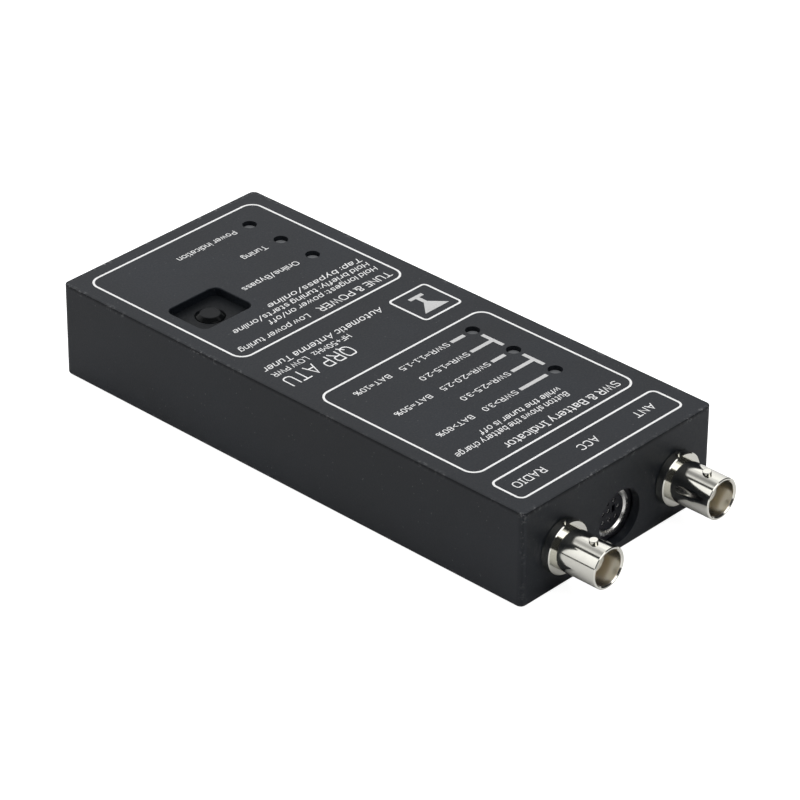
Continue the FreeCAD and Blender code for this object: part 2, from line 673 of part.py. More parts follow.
def make_jack(prefix, x):
    """One bulkhead jack and its wire. Each piece is turned about Z, with z = 0 on the wall."""
    jack = new_body(f"{prefix}_jack_body")
    mouth = mouth_y
    turn(jack, [
        (0, -thread_l),
        (thread_r - thread_bevel, -thread_l),
        (thread_r, -(thread_l - thread_bevel)),
        (thread_r, 0),
        (flange_r - edge_break, 0),
        (flange_r, edge_break),
        (flange_r, flange_t - flange_bevel),
        (flange_r - flange_bevel, flange_t),
        (barrel_r, flange_t),
        (barrel_r, mouth - edge_break),
        (barrel_r - edge_break, mouth),
        (0, mouth),
    ])
    stud_sketch = new_sketch(jack, "XZ_Plane")
    draw_circle(stud_sketch, (0, mouth - stud_back), stud_r)
    pad(jack, stud_sketch, stud_tip * 2, both_ways=True)
    dress(jack, "Fillet", lambda edge: near(abs(edge.BoundBox.Center.y), stud_tip), stud_bevel)
    pip_sketch = new_sketch(jack, "XZ_Plane")
    draw_circle(pip_sketch, (0, pip_back), pip_r)
    pad(jack, pip_sketch, flange_r + pip_tall)
    bore = new_sketch(jack, "XY_Plane", mouth)
    draw_circle(bore, (0, 0), mouth_r)
    pocket(jack, bore, mouth_depth)
    through = new_sketch(jack, "XY_Plane", mouth)
    draw_circle(through, (0, 0), insulator_r + jack_slip)
    pocket(jack, through, mouth + thread_l)
    dress(jack, "Chamfer", lambda edge: round_at(edge, mouth_r, mouth), mouth_bevel)

    insulator = new_body(f"{prefix}_jack_insulator")
    front = mouth - insulator_sink
    inner = contact_r + jack_slip
    turn(insulator, [
        (inner, -(thread_l + insulator_tail)),
        (insulator_r, -(thread_l + insulator_tail)),
        (insulator_r, front - edge_break),
        (insulator_r - edge_break, front),
        (inner, front),
    ])

    contact = new_body(f"{prefix}_jack_contact")
    contact_back = -(thread_l + contact_tail)
    contact_front = front - contact_sink
    turn(contact, [
        (0, contact_back),
        (contact_r, contact_back),
        (contact_r, contact_front - edge_break),
        (contact_r - edge_break, contact_front),
        (0, contact_front),
    ])
    socket = new_sketch(contact, "XY_Plane", front)
    draw_circle(socket, (0, 0), contact_bore_r)
    pocket(contact, socket, contact_bore_l)
    slots = new_sketch(contact, "XY_Plane", front)
    draw_box(slots, (0, 0), contact_slot_w, contact_r * 2.2)
    pocket(contact, slots, contact_slot_l)
    cup = new_sketch(contact, "XY_Plane", contact_back)
    draw_circle(cup, (0, 0), jack_wire_r + wire_gap)
    pocket(contact, cup, cup_depth, reverse=True)

    washer = new_body(f"{prefix}_jack_lock_washer")
    washer_sketch = new_sketch(washer, "XY_Plane", -(wall + washer_t))
    draw_circle(washer_sketch, (0, 0), flange_r + washer_over)
    draw_circle(washer_sketch, (0, 0), thread_r + slip)
    pad(washer, washer_sketch, washer_t)
    notch = new_sketch(washer, "XY_Plane", -wall)
    draw_box(notch, (notch_x, 0), notch_w, notch_l)
    cut = pocket(washer, notch, washer_t)
    repeat_round(washer, cut, 10, 360)

    tag = new_body(f"{prefix}_jack_solder_tag")
    tag_back = -(wall + washer_t + tag_t)
    tag_arm = new_sketch(tag, "XY_Plane", tag_back)
    draw_box(tag_arm, (0, arm_y), arm_w, arm_l)
    pad(tag, tag_arm, tag_t)
    tag_ring = new_sketch(tag, "XY_Plane", tag_back)
    draw_circle(tag_ring, (0, 0), flange_r + tag_over)
    pad(tag, tag_ring, tag_t)
    tag_hole = new_sketch(tag, "XY_Plane", tag_back + tag_t)
    draw_circle(tag_hole, (0, 0), thread_r + slip)
    draw_circle(tag_hole, (0, eye_y), eye_r)
    pocket(tag, tag_hole, tag_t)

    nut = new_body(f"{prefix}_jack_nut")
    nut_back = tag_back - nut_t
    nut_sketch = new_sketch(nut, "XY_Plane", nut_back)
    reach = nut_flats / 2 / math.cos(math.radians(30))
    turns = [math.radians(60 * k + 30) for k in range(6)]
    draw_outline(nut_sketch, [(reach * math.cos(a), reach * math.sin(a)) for a in turns])
    pad(nut, nut_sketch, nut_t)
    nut_hole = new_sketch(nut, "XY_Plane", tag_back)
    draw_circle(nut_hole, (0, 0), thread_r + slip)
    pocket(nut, nut_hole, nut_t)
    dress(nut, "Chamfer", lambda edge: round_at(edge, thread_r + slip, nut_back), thread_bevel)

    for piece in (jack, insulator, contact):
        lay_along_y(piece, x, wall_y, jack_z, jack_roll)
    for piece in (washer, tag, nut):
        lay_along_y(piece, x, wall_y, jack_z)

    wire = new_body(f"{prefix}_jack_wire")
    path = new_sketch(wire, "YZ_Plane", x)
    start_y = wall_y - thread_l - wire_start
    corner = (wire_rise_y, jack_z)
    draw_bent_path(path, (start_y, jack_z), corner, (wire_rise_y, board_top + wire_out), wire_bend_r)
    section = new_sketch(wire, "XZ_Plane", -start_y)
    draw_circle(section, (x, jack_z), jack_wire_r)
    pipe = wire.newObject("PartDesign::AdditivePipe", f"{prefix}_wire_pipe")
    pipe.Profile = section
    pipe.Spine = path
    wire.Tip = pipe
    doc.recompute()


def draw_bent_path(sketch, start, corner, end, radius):
    """A straight run, a quarter bend upwards and a second straight run."""
    points = [tuple(c.value for c in spot) for spot in (start, corner, end)]
    bend = radius.value
    first_end = FreeCAD.Vector(points[1][0] + bend, points[1][1], 0)
    second_start = FreeCAD.Vector(points[1][0], points[1][1] + bend, 0)
    centre = FreeCAD.Vector(points[1][0] + bend, points[1][1] + bend, 0)
    run = sketch.addGeometry(Part.LineSegment(FreeCAD.Vector(*points[0], 0), first_end), False)
    circle = Part.Circle(centre, FreeCAD.Vector(0, 0, 1), bend)
    curve = sketch.addGeometry(Part.ArcOfCircle(circle, math.pi, 1.5 * math.pi), False)
    rise = sketch.addGeometry(Part.LineSegment(second_start, FreeCAD.Vector(*points[2], 0)), False)
    sketch.addConstraint(Sketcher.Constraint("Coincident", run, 2, curve, 2))
    sketch.addConstraint(Sketcher.Constraint("Coincident", curve, 1, rise, 1))
    hold_point(sketch, run, 1, start)
    hold_point(sketch, curve, 3, (corner[0] + radius, corner[1] + radius))
    hold_point(sketch, curve, 2, (corner[0] + radius, corner[1]))
    hold(sketch, "DistanceY", corner[1] + radius, -1, 1, curve, 1)
    hold_point(sketch, rise, 2, end)


# ---------------------------------------------------------------- accessory socket

def socket_contacts():
    """(x, z, tail y) of the eight contacts, x and z from the socket's centre."""
    rows = ((-1.9, (-1.9, 0.1, 2.1), 51.4), (0.3, (-2.6, 0.4, 2.2), 52.7), (2.3, (-1.2, 0.9), 54.0))
    return [(x, z, tail_y) for z, row, tail_y in rows for x in row]


def make_socket():
    """Eight-way round accessory socket: moulded block, metal ring and eight contacts."""
    block = new_body("acc_socket_housing")
    front = wall_in_y - block_gap
    back = block_back
    floor_y = front - cavity_depth
    under = cover_t + block_lift
    tall = board_under - under
    sketch = new_sketch(block, "XZ_Plane", -front)
    draw_box(sketch, (acc_x, under + tall / 2), block_w, tall)
    pad(block, sketch, front - back)
    cavity = new_sketch(block, "XZ_Plane", -front)
    draw_circle(cavity, (acc_x, acc_z), ring_outer + slip)
    pocket(block, cavity, cavity_depth, reverse=True)
    tail_holes = new_sketch(block, "XZ_Plane", -floor_y)
    for x, z, _ in socket_contacts():
        draw_circle(tail_holes, (acc_x + x, acc_z + z), pin_hole_r)
    pocket(block, tail_holes, floor_y - back, reverse=True)

    insert = new_body("acc_socket_insert")
    insert_front = wall_y - insert_sink
    nose = new_sketch(insert, "XZ_Plane", -insert_front)
    draw_circle(nose, (acc_x, acc_z), insert_r)
    pad(insert, nose, insert_front - floor_y)
    key = new_sketch(insert, "XZ_Plane", -insert_front)
    draw_box(key, (acc_x - key_x, acc_z + key_z), key_w, key_tall)
    pocket(insert, key, key_depth, reverse=True)
    holes = new_sketch(insert, "XZ_Plane", -insert_front)
    for x, z, _ in socket_contacts():
        draw_circle(holes, (acc_x + x, acc_z + z), pin_hole_r)
    pocket(insert, holes, insert_front - floor_y, reverse=True)

    ring = new_body("acc_socket_shield")
    ring_front = wall_y - ring_sink
    ring_sketch = new_sketch(ring, "XZ_Plane", -ring_front)
    draw_circle(ring_sketch, (acc_x, acc_z), ring_outer)
    draw_circle(ring_sketch, (acc_x, acc_z), ring_inner)
    pad(ring, ring_sketch, ring_front - front + ring_back)

    def ring_lip(edge, radius):
        box = edge.BoundBox
        at_front = near(box.YMin, ring_front) and near(box.YMax, ring_front)
        return at_front and hasattr(edge.Curve, "Radius") and near(edge.Curve.Radius, radius)

    dress(ring, "Chamfer", lambda edge: ring_lip(edge, ring_inner), ring_bevel)
    dress(ring, "Fillet", lambda edge: ring_lip(edge, ring_outer), ring_soft)

    pins = new_body("acc_socket_contacts")
    reach = insert_front - pin_sink
    tubes = new_sketch(pins, "XZ_Plane", -reach)
    for x, z, _ in socket_contacts():
        draw_circle(tubes, (acc_x + x, acc_z + z), tube_r)
    pad(pins, tubes, reach - back + tail_r)
    mouths = new_sketch(pins, "XZ_Plane", -reach)
    for x, z, _ in socket_contacts():
        draw_circle(mouths, (acc_x + x, acc_z + z), tube_bore_r)
    pocket(pins, mouths, tube_bore_l, reverse=True)
    for x, z, tail_y in socket_contacts():
        run = new_sketch(pins, "XZ_Plane", -back)
        draw_circle(run, (acc_x + x, acc_z + z), tail_r)
        pad(pins, run, back - tail_y + tail_r)
        tail = new_sketch(pins, "XY_Plane", acc_z + z - tail_r)
        draw_circle(tail, (acc_x + x, tail_y), tail_r)
        pad(pins, tail, board_top + tail_out - acc_z - z)


# ---------------------------------------------------------------- button

def make_button():
    """Light-tight bezel, cap and tact switch. The cap and the plunger travel together."""
    bezel = new_body("button_bezel")
    sheet_z = inner_top - bezel_t
    sketch = new_sketch(bezel, "XY_Plane", sheet_z)
    draw_box(sketch, (button_x, button_y), window_w + bezel_lap * 2, window_l + bezel_lap * 2)
    pad(bezel, sketch, bezel_t)
    hole = new_sketch(bezel, "XY_Plane", inner_top)
    draw_circle(hole, (button_x, button_y), bezel_hole)
    pocket(bezel, hole, bezel_t)

    cap = new_body("button_cap")
    cap_top = case_h - cap_sink
    cap_low = board_top + switch_tall + cap_travel + cap_play
    turn(cap, [
        (0, cap_low),
        (cap_base_r, cap_low),
        (cap_base_r, cap_low + cap_base_t),
        (cap_top_r, cap_top),
        (0, cap_top),
    ])
    dress(cap, "Fillet", lambda edge: round_at(edge, cap_top_r, cap_top), cap_round)
    dress(cap, "Fillet", lambda edge: round_at(edge, cap_base_r, cap_low + cap_base_t), cap_round)
    seat = new_sketch(cap, "XY_Plane", cap_low)
    draw_circle(seat, (0, 0), plunger_r + cap_seat_gap)
    pocket(cap, seat, cap_top - cap_roof - cap_low, reverse=True)
    place(cap, button_x, button_y)

    base = new_body("switch_base")
    body_sketch = new_sketch(base, "XY_Plane", board_top)
    base_top = board_top + switch_tall - switch_cover_t
    draw_box(body_sketch, (0, 0), switch_w, switch_w)
    pad(base, body_sketch, base_top - board_top)
    well = new_sketch(base, "XY_Plane", base_top)
    draw_circle(well, (0, 0), well_r)
    pocket(base, well, well_l)
    legs = new_sketch(base, "XY_Plane", board_top)
    for side in (-1, 1):
        for end in (-1, 1):
            draw_box(legs, (leg_x * side, leg_y * end), leg_t, leg_w)
    pad(base, legs, board_t + leg_out, reverse=True)
    place(base, button_x, button_y)

    cover = new_body("switch_cover")
    cover_sketch = new_sketch(cover, "XY_Plane", base_top)
    draw_box(cover_sketch, (0, 0), switch_w, switch_w)
    draw_circle(cover_sketch, (0, 0), plunger_r + plunger_gap)
    pad(cover, cover_sketch, switch_cover_t)
    place(cover, button_x, button_y)

    well_floor = base_top - well_l
    plunger = new_body("switch_plunger")
    collar_top = base_top - collar_gap
    turn(plunger, [
        (0, well_floor + nose_low),
        (nose_r, well_floor + nose_low),
        (nose_r, well_floor + collar_low),
        (collar_r, well_floor + collar_low),
        (collar_r, collar_top),
        (plunger_r, collar_top),
        (plunger_r, cap_top - cap_roof),
        (0, cap_top - cap_roof),
    ])
    place(plunger, button_x, button_y)

    make_dome(well_floor)


def make_dome(floor_z):
    """The snap dome under the plunger: a thin spherical cap that rests on its rim."""
    rim_r, rise = dome_rim_r.value, dome_rise.value
    ball_r = (rim_r ** 2 + rise ** 2) / (2 * rise)
    centre = FreeCAD.Vector(0, 0, rise - ball_r)
    outer = Part.makeSphere(ball_r, centre)
    hollow = Part.makeSphere(ball_r - dome_t.value, centre)
    floor_gap = FreeCAD.Vector(0, 0, 0.02)
    above_floor = Part.makeCylinder(ball_r, ball_r, floor_gap)
    dome = doc.addObject("Part::Feature", "switch_dome")
    dome.Label = "switch_dome"
    dome.Shape = outer.cut(hollow).common(above_floor)
    place(dome, button_x, button_y, floor_z)
    subparts.append(dome)


# ---------------------------------------------------------------- indicator lights

def make_light_guide(label, places):
    """A clear strip under the top wall with one post in each light hole."""
    body = new_body(label)
    length = places[0] - places[-1] + guide_over * 2
    middle = (places[0] + places[-1]) / 2
    strip = new_sketch(body, "XY_Plane", inner_top - guide_t)
    draw_box(strip, (light_x, middle), guide_w, length)
    pad(body, strip, guide_t)
    posts = new_sketch(body, "XY_Plane", inner_top)
    for y in places:
        draw_circle(posts, (light_x, y), light_r - slip)
    pad(body, posts, light_top - inner_top)
    pits = new_sketch(body, "XY_Plane", inner_top - guide_t)
    for y in places:
        draw_circle(pits, (light_x, y), pit_r)
    pocket(body, pits, pit_depth, reverse=True)
    dress(body, "Fillet", lambda edge: round_at(edge, light_r - slip, light_top), guide_round)


def make_lights():
    """Six identical surface-mount lights on the board: a base and a raised lens each."""
    body = new_body("indicator_lights")
    bases = new_sketch(body, "XY_Plane", board_top)
    for y in swr_lights + status_lights:
        draw_box(bases, (light_x, y), led_w, led_l)
    pad(body, bases, led_t)
    lenses = new_sketch(body, "XY_Plane", board_top + led_t)
    for y in swr_lights + status_lights:
        draw_box(lenses, (light_x, y), lens_w, lens_l)
    pad(body, lenses, lens_t)


# ---------------------------------------------------------------- circuit board and its parts

def make_board():
    """The circuit board, with a tongue over the accessory socket."""
    body = new_body("main_board")
    half = board_w / 2
    left, right = acc_x - tongue_w / 2, acc_x + tongue_w / 2
    sketch = new_sketch(body, "XY_Plane", board_under)
    draw_outline(sketch, [
        (-half, board_back),
        (half, board_back),
        (half, board_front),
        (right, board_front),
        (right, tongue_y),
        (left, tongue_y),
        (left, board_front),
        (-half, board_front),
    ])
    pad(body, sketch, board_t)
    holes = new_sketch(body, "XY_Plane", board_top)
    for spot in board_screw_places:
        draw_circle(holes, spot, screw_r + board_hole_gap)
    for x in (-jack_x, jack_x):
        draw_circle(holes, (x, wire_rise_y), jack_wire_r + wire_gap)
    for x, _, tail_y in socket_contacts():
        draw_circle(holes, (acc_x + x, tail_y), tail_r + board_hole_gap)
    for side in (-1, 1):
        for end in (-1, 1):
            draw_circle(holes, (button_x + leg_x * side, button_y + leg_y * end), leg_hole_r)
    pocket(body, holes, board_t)
    dress(body, "Fillet", corner_edges(board_w, board_back * -2), board_round)


def make_board_screws():
    """Six identical pan-head screws that hold the board to the bosses."""
    body = new_body("board_screws")
    shanks = new_sketch(body, "XY_Plane", board_under)
    for spot in board_screw_places:
        draw_circle(shanks, spot, screw_r)
    pad(body, shanks, board_screw_l)
    heads = new_sketch(body, "XY_Plane", board_under)
    for spot in board_screw_places:
        draw_circle(heads, spot, screw_head_r)
    pad(body, heads, pan_t, reverse=True)
    head_z = board_under - pan_t
    dress(body, "Fillet", lambda edge: round_at(edge, screw_head_r, head_z), pan_round)
    add_hex_sockets(body, board_screw_places, board_hex_r, board_hex_l, head_z)


def make_relay(label, x, y):
    """A small latching relay, hanging from the board on eight flat terminals."""
    body = new_body(label)
    sketch = new_sketch(body, "XY_Plane", -relay_tall)
    draw_box(sketch, (0, 0), relay_w, relay_l)
    pad(body, sketch, relay_tall)
    dress(body, "Fillet", corner_edges(relay_w, relay_l), relay_round)
    dress(body, "Fillet", lambda edge: level_at(edge, -relay_tall), relay_soft)
    terminals = new_sketch(body, "XY_Plane")
    for side in (-1, 1):
        draw_box(terminals, (terminal_x, terminal_y * side), terminal_w, terminal_l)
    repeat_row(body, pad(body, terminals, relay_gap), "X_Axis", 3.7, 4)
    place(body, x, y, board_under - relay_gap)


def make_core(label, outer, inner, tall, soft):
    """One ring core with softened edges, standing on z = 0 about its own centre."""
    body = new_body(label)
    ring = new_sketch(body, "XY_Plane")
    draw_circle(ring, (0, 0), outer)
    draw_circle(ring, (0, 0), inner)
    pad(body, ring, tall)
    dress(body, "Fillet", lambda edge: level_at(edge, 0) or level_at(edge, tall), soft)
    return body


def make_winding(label, outer, inner, tall, count, sweep, turn_from):
    """Separate turns of wire around a ring core, spread over part of it."""
    body = new_body(label)
    near_r, far_r = inner - winding_gap, outer + winding_gap
    low, high = -winding_gap, tall + winding_gap
    sketch = new_sketch(body, "XZ_Plane")
    draw_outline(sketch, [
        (near_r - wire_t, low - wire_t),
        (far_r + wire_t, low - wire_t),
        (far_r + wire_t, high + wire_t),
        (near_r - wire_t, high + wire_t),
    ])
    draw_outline(sketch, [(near_r, low), (far_r, low), (far_r, high), (near_r, high)])
    first = pad(body, sketch, wire_t, both_ways=True)
    repeat_round(body, first, count, sweep)
    body.Placement.Rotation = FreeCAD.Rotation(FreeCAD.Vector(0, 0, 1), turn_from)
    return body


def make_inductors():
    """Three wound ring cores down the middle of the board's underside."""
    lift = board_under - wire_t - winding_lift - core_tall
    for index, (y, count) in enumerate(((31, 12), (17, 14), (3, 16))):
        core = make_core(f"inductor_core_{index + 1}", core_outer, core_inner, core_tall, core_round)
        place(core, 0, y, lift)
        winding = make_winding(
            f"inductor_winding_{index + 1}", core_outer, core_inner, core_tall, count, 300, 120)
        place(winding, 0, y, lift)


def make_bridge():
    """The two small cores of the power-sensing bridge and their windings."""
    lift = board_under - wire_t - winding_lift - bridge_tall
    places = (("forward", 5.2), ("reflected", 17))
    for name, x in places:
        label = f"bridge_core_{name}"
        core = make_core(label, bridge_outer, bridge_inner, bridge_tall, bridge_round)
        place(core, x, bridge_y, lift)
    windings = doc.addObject("Part::Feature", "bridge_windings")
    windings.Label = "bridge_windings"
    gap = winding_gap.value
    thick = wire_t.value
    near_r, far_r = bridge_inner.value - gap, bridge_outer.value + gap
    tall = bridge_tall.value + 2 * gap
    loops = []
    for _, x in places:
        for step in range(8):
            corner = FreeCAD.Vector(near_r - thick, -thick / 2, -gap - thick)
            frame = Part.makeBox(far_r - near_r + 2 * thick, thick, tall + 2 * thick, corner)
            gap_box = Part.makeBox(far_r - near_r, thick, tall, FreeCAD.Vector(near_r, -thick / 2, -gap))
            loop = frame.cut(gap_box)
            loop.rotate(FreeCAD.Vector(0, 0, 0), FreeCAD.Vector(0, 0, 1), 36 * step)
            loop.translate(FreeCAD.Vector(x, bridge_y.value, 0))
            loops.append(loop)
    windings.Shape = Part.makeCompound(loops)
    place(windings, 0, 0, lift)
    subparts.append(windings)


def make_air_coils():
    """Four identical air-wound coils for the smallest inductances, as stacks of turns."""
    coils = doc.addObject("Part::Feature", "air_coils")
    coils.Label = "air_coils"
    coil_r, turns = 2.1, 5
    wire_r = 0.3
    rings = []
    for x in (-3.4, 3.4):
        for y in (-8.2, -14.2):
            for step in range(turns):
                middle = FreeCAD.Vector(x + (step - 2) * 2.4 * wire_r, y, 0)
                rings.append(Part.makeTorus(coil_r, wire_r, middle, FreeCAD.Vector(1, 0, 0)))
    coils.Shape = Part.makeCompound(rings)
    place(coils, 0, 0, board_under - coil_r - wire_r - 0.02)
    subparts.append(coils)


def make_chips():
    """Capacitors, microcontroller, relay drivers and the charge socket."""
    capacitors = new_body("tuning_capacitors")
    sketch = new_sketch(capacitors, "XY_Plane", board_top)
    for step in range(6):
        draw_box(sketch, (relay_x, relay_first_y - relay_pitch * step), capacitor_w, capacitor_l)
    pad(capacitors, sketch, capacitor_t)

    chip = new_body("microcontroller")
    chip_sketch = new_sketch(chip, "XY_Plane", -chip_low)
    draw_box(chip_sketch, (0, 0), chip_w, chip_w)
    pad(chip, chip_sketch, chip_t)
    dress(chip, "Fillet", corner_edges(chip_w, chip_w), chip_round)
    for role, lead_w, lead_l in (("X_Axis", lead_thin, lead_long), ("Y_Axis", lead_long, lead_thin)):
        leads = new_sketch(chip, "XY_Plane", -lead_low)
        for side in (-lead_out, lead_out):
            spot = (lead_first, side) if role == "X_Axis" else (side, lead_first)
            draw_box(leads, spot, lead_w, lead_l)
        repeat_row(chip, pad(chip, leads, lead_t), role, 0.8, 8)
    place(chip, 0, chip_y, board_under)

    drivers = new_body("relay_drivers")
    driver_sketch = new_sketch(drivers, "XY_Plane", board_under - driver_low)
    driver_leads = new_sketch(drivers, "XY_Plane", board_under - lead_low)
    for y in (as_size(-43), as_size(-52)):
        draw_box(driver_sketch, (0, y), driver_w, driver_l)
        for side in (-1, 1):
            spot = (driver_lead_x, y + driver_lead_y * side)
            draw_box(driver_leads, spot, driver_lead_w, lead_long)
    pad(drivers, driver_sketch, driver_t)
    repeat_row(drivers, pad(drivers, driver_leads, lead_t), "X_Axis", 1.27, 8)

    port = new_body("charge_socket")
    port_sketch = new_sketch(port, "XZ_Plane", wall_y - charge_sink)
    draw_box(port_sketch, (0, charge_z), charge_w, charge_tall)
    pad(port, port_sketch, charge_l, reverse=True)

    def port_corner(edge):
        box = edge.BoundBox
        return near(box.YLength, charge_l) and box.XLength < 0.001 and box.ZLength < 0.001

    dress(port, "Fillet", port_corner, charge_round)
    opening = new_sketch(port, "XZ_Plane", wall_y - charge_sink)
    draw_box(opening, (0, charge_z), charge_w - charge_wall, charge_tall - charge_wall)
    pocket(port, opening, charge_mouth_l)
    tongue = new_sketch(port, "XZ_Plane", wall_y - charge_tongue_from)
    draw_box(tongue, (0, charge_z), charge_w - charge_tongue_narrow, charge_tongue_t)
    pad(port, tongue, charge_tongue_l)


def make_cell():
    """The rechargeable pouch cell on the bottom plate."""
    cell = new_body("battery_cell")
    cell_low = cover_t + cell_lift
    sketch = new_sketch(cell, "XY_Plane", cell_low)
    draw_box(sketch, (0, cell_y), cell_w, cell_l)
    pad(cell, sketch, cell_t)
    dress(cell, "Fillet", upright, cell_round)
    dress(cell, "Fillet", lambda edge: level_at(edge, cell_low + cell_t), cell_soft)
    tab = new_sketch(cell, "XY_Plane", cell_low)
    draw_box(tab, (0, tab_y - cell_l / 2), cell_w - tab_narrow, tab_l)
    pad(cell, tab, tab_t)


# ---------------------------------------------------------------- build, test and write

make_housing()
make_cover()
make_cover_screws()
make_jack("antenna", -jack_x)
make_jack("radio", jack_x)
make_socket()
make_button()
make_light_guide("swr_light_guide", swr_lights)
make_light_guide("status_light_guide", status_lights)
make_lights()
make_board()
make_board_screws()
for number in range(6):
    relay_y = relay_first_y - relay_pitch * number
    make_relay(f"inductor_relay_{number + 1}", -relay_x, relay_y)
    make_relay(f"capacitor_relay_{number + 1}", relay_x, relay_y)
make_relay("network_side_relay", as_size(-14), as_size(-30))
make_inductors()
make_bridge()
make_air_coils()
make_chips()
make_cell()

doc.recompute()
for thing in doc.Objects:
    if "Invalid" in thing.State or "Error" in thing.State:
        raise ValueError(f"{thing.Name} failed: {thing.State}")
for piece in subparts:
    if piece.Shape.isNull() or not piece.Shape.isValid():
        raise ValueError(f"{piece.Label} has no valid shape")

os.makedirs("parts", exist_ok=True)
for piece in subparts:
    piece.Shape.exportStep(f"parts/{piece.Label}.step")
print(f"wrote {len(subparts)} sub-parts")
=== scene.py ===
"""Looks of a pocket-size antenna tuner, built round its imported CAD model. Metres, +Z up."""

import json
import math

import bmesh
import bpy
from mathutils import Matrix, Vector


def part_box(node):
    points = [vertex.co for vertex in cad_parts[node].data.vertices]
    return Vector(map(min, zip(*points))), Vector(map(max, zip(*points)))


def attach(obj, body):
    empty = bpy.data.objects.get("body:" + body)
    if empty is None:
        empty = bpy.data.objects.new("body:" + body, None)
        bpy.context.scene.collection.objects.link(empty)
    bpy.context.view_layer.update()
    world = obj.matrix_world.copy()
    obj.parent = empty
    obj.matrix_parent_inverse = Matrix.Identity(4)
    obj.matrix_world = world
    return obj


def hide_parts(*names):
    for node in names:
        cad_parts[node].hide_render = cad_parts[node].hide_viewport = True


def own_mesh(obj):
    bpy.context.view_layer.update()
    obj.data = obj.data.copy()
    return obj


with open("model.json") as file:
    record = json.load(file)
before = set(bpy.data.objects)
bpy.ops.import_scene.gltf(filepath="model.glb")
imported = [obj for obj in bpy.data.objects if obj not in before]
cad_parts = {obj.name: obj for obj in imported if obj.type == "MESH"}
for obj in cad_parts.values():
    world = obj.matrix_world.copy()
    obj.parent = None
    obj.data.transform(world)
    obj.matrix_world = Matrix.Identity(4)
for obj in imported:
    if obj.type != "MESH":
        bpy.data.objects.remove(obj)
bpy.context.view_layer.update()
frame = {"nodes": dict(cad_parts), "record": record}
nodes = frame["nodes"]
MM = 0.001

CASE_LOW, CASE_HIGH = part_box("housing_shell")
TOP_Z = CASE_HIGH.z
CAP_TOP_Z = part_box("button_cap")[1].z

# The jacks' centre lines and bores
JACK_X = 18.13 * MM
JACK_Z = 10.5 * MM
BORE_RADIUS = 4.07 * MM
BORE_FROM_Y = 68.5 * MM


# ---------------------------------------------------------------- node helpers


class Nodes:
    """A node tree to be filled, with the two kinds of sum that the materials and the sky share."""

    def __init__(self, owner):
        owner.use_nodes = True
        self.tree = owner.node_tree
        self.tree.nodes.clear()

    def add(self, kind):
        return self.tree.nodes.new(kind)

    def put(self, socket, value):
        """Link a socket to another one, or set it to a plain value."""
        if isinstance(value, bpy.types.NodeSocket):
            self.tree.links.new(value, socket)
        else:
            socket.default_value = value

    def math(self, kind, a, b=0.0):
        node = self.add("ShaderNodeMath")
        node.operation = kind
        for socket, value in zip(node.inputs, (a, b)):
            self.put(socket, value)
        return node.outputs[0]

    def times(self, a, b):
        return self.math("MULTIPLY", a, b)

    def span(self, value, low, high, to_low=0.0, to_high=1.0):
        """Map low..high onto to_low..to_high, and hold the ends."""
        node = self.add("ShaderNodeMapRange")
        node.clamp = True
        for socket, v in zip(node.inputs, (value, low, high, to_low, to_high)):
            self.put(socket, v)
        return node.outputs[0]


class Shader(Nodes):
    """A Principled material. Textures follow the object, and their scales are per metre."""

    def __init__(self, name, **fixed):
        self.mat = bpy.data.materials.new(name)
        super().__init__(self.mat)
        out = self.add("ShaderNodeOutputMaterial")
        self.bsdf = self.add("ShaderNodeBsdfPrincipled")
        self.put(out.inputs["Surface"], self.bsdf.outputs[0])
        self.place = self.add("ShaderNodeTexCoord").outputs["Object"]
        self.set(**fixed)

    def stretched(self, x, y, z):
        node = self.add("ShaderNodeMapping")
        self.put(node.inputs["Vector"], self.place)
        node.inputs["Scale"].default_value = (x, y, z)
        return node.outputs[0]

    def noise(self, scale, detail=2.0, rough=0.5, at=None, twist=0.0):
        node = self.add("ShaderNodeTexNoise")
        self.put(node.inputs["Vector"], self.place if at is None else at)
        node.inputs["Scale"].default_value = scale
        node.inputs["Detail"].default_value = detail
        node.inputs["Roughness"].default_value = rough
        node.inputs["Distortion"].default_value = twist
        return node.outputs["Fac"]

    def full(self, noise, to_low=0.0, to_high=1.0):
        """Spread a noise, which mostly stays within 0.3 to 0.7, over a whole range."""
        return self.span(noise, 0.3, 0.7, to_low, to_high)

    def cells(self, scale, feature="F1"):
        node = self.add("ShaderNodeTexVoronoi")
        node.feature = feature
        self.put(node.inputs["Vector"], self.place)
        node.inputs["Scale"].default_value = scale
        return node.outputs["Distance"]

    def mix(self, share, a, b):
        """Colour a, going over to colour b as the share goes from nought to one."""
        node = self.add("ShaderNodeMix")
        node.data_type = "RGBA"
        self.put(node.inputs[0], share)
        for socket, color in ((node.inputs[6], a), (node.inputs[7], b)):
            self.put(socket, (*color, 1.0) if isinstance(color, tuple) else color)
        return node.outputs[2]

    def axes(self):
        node = self.add("ShaderNodeSeparateXYZ")
        self.put(node.inputs[0], self.place)
        return node.outputs[0], node.outputs[1], node.outputs[2]

    def bump(self, height, depth):
        node = self.add("ShaderNodeBump")
        node.inputs["Strength"].default_value = 1.0
        node.inputs["Distance"].default_value = depth
        self.put(node.inputs["Height"], height)
        return node.outputs[0]

    def set(self, **sockets):
        """Link or set the shader's own sockets, named with _ for a space."""
        for socket, value in sockets.items():
            self.put(self.bsdf.inputs[socket.replace("_", " ")], value)
        return self.mat


def tinted(color, factor):
    return tuple(min(1.0, c * factor) for c in color)


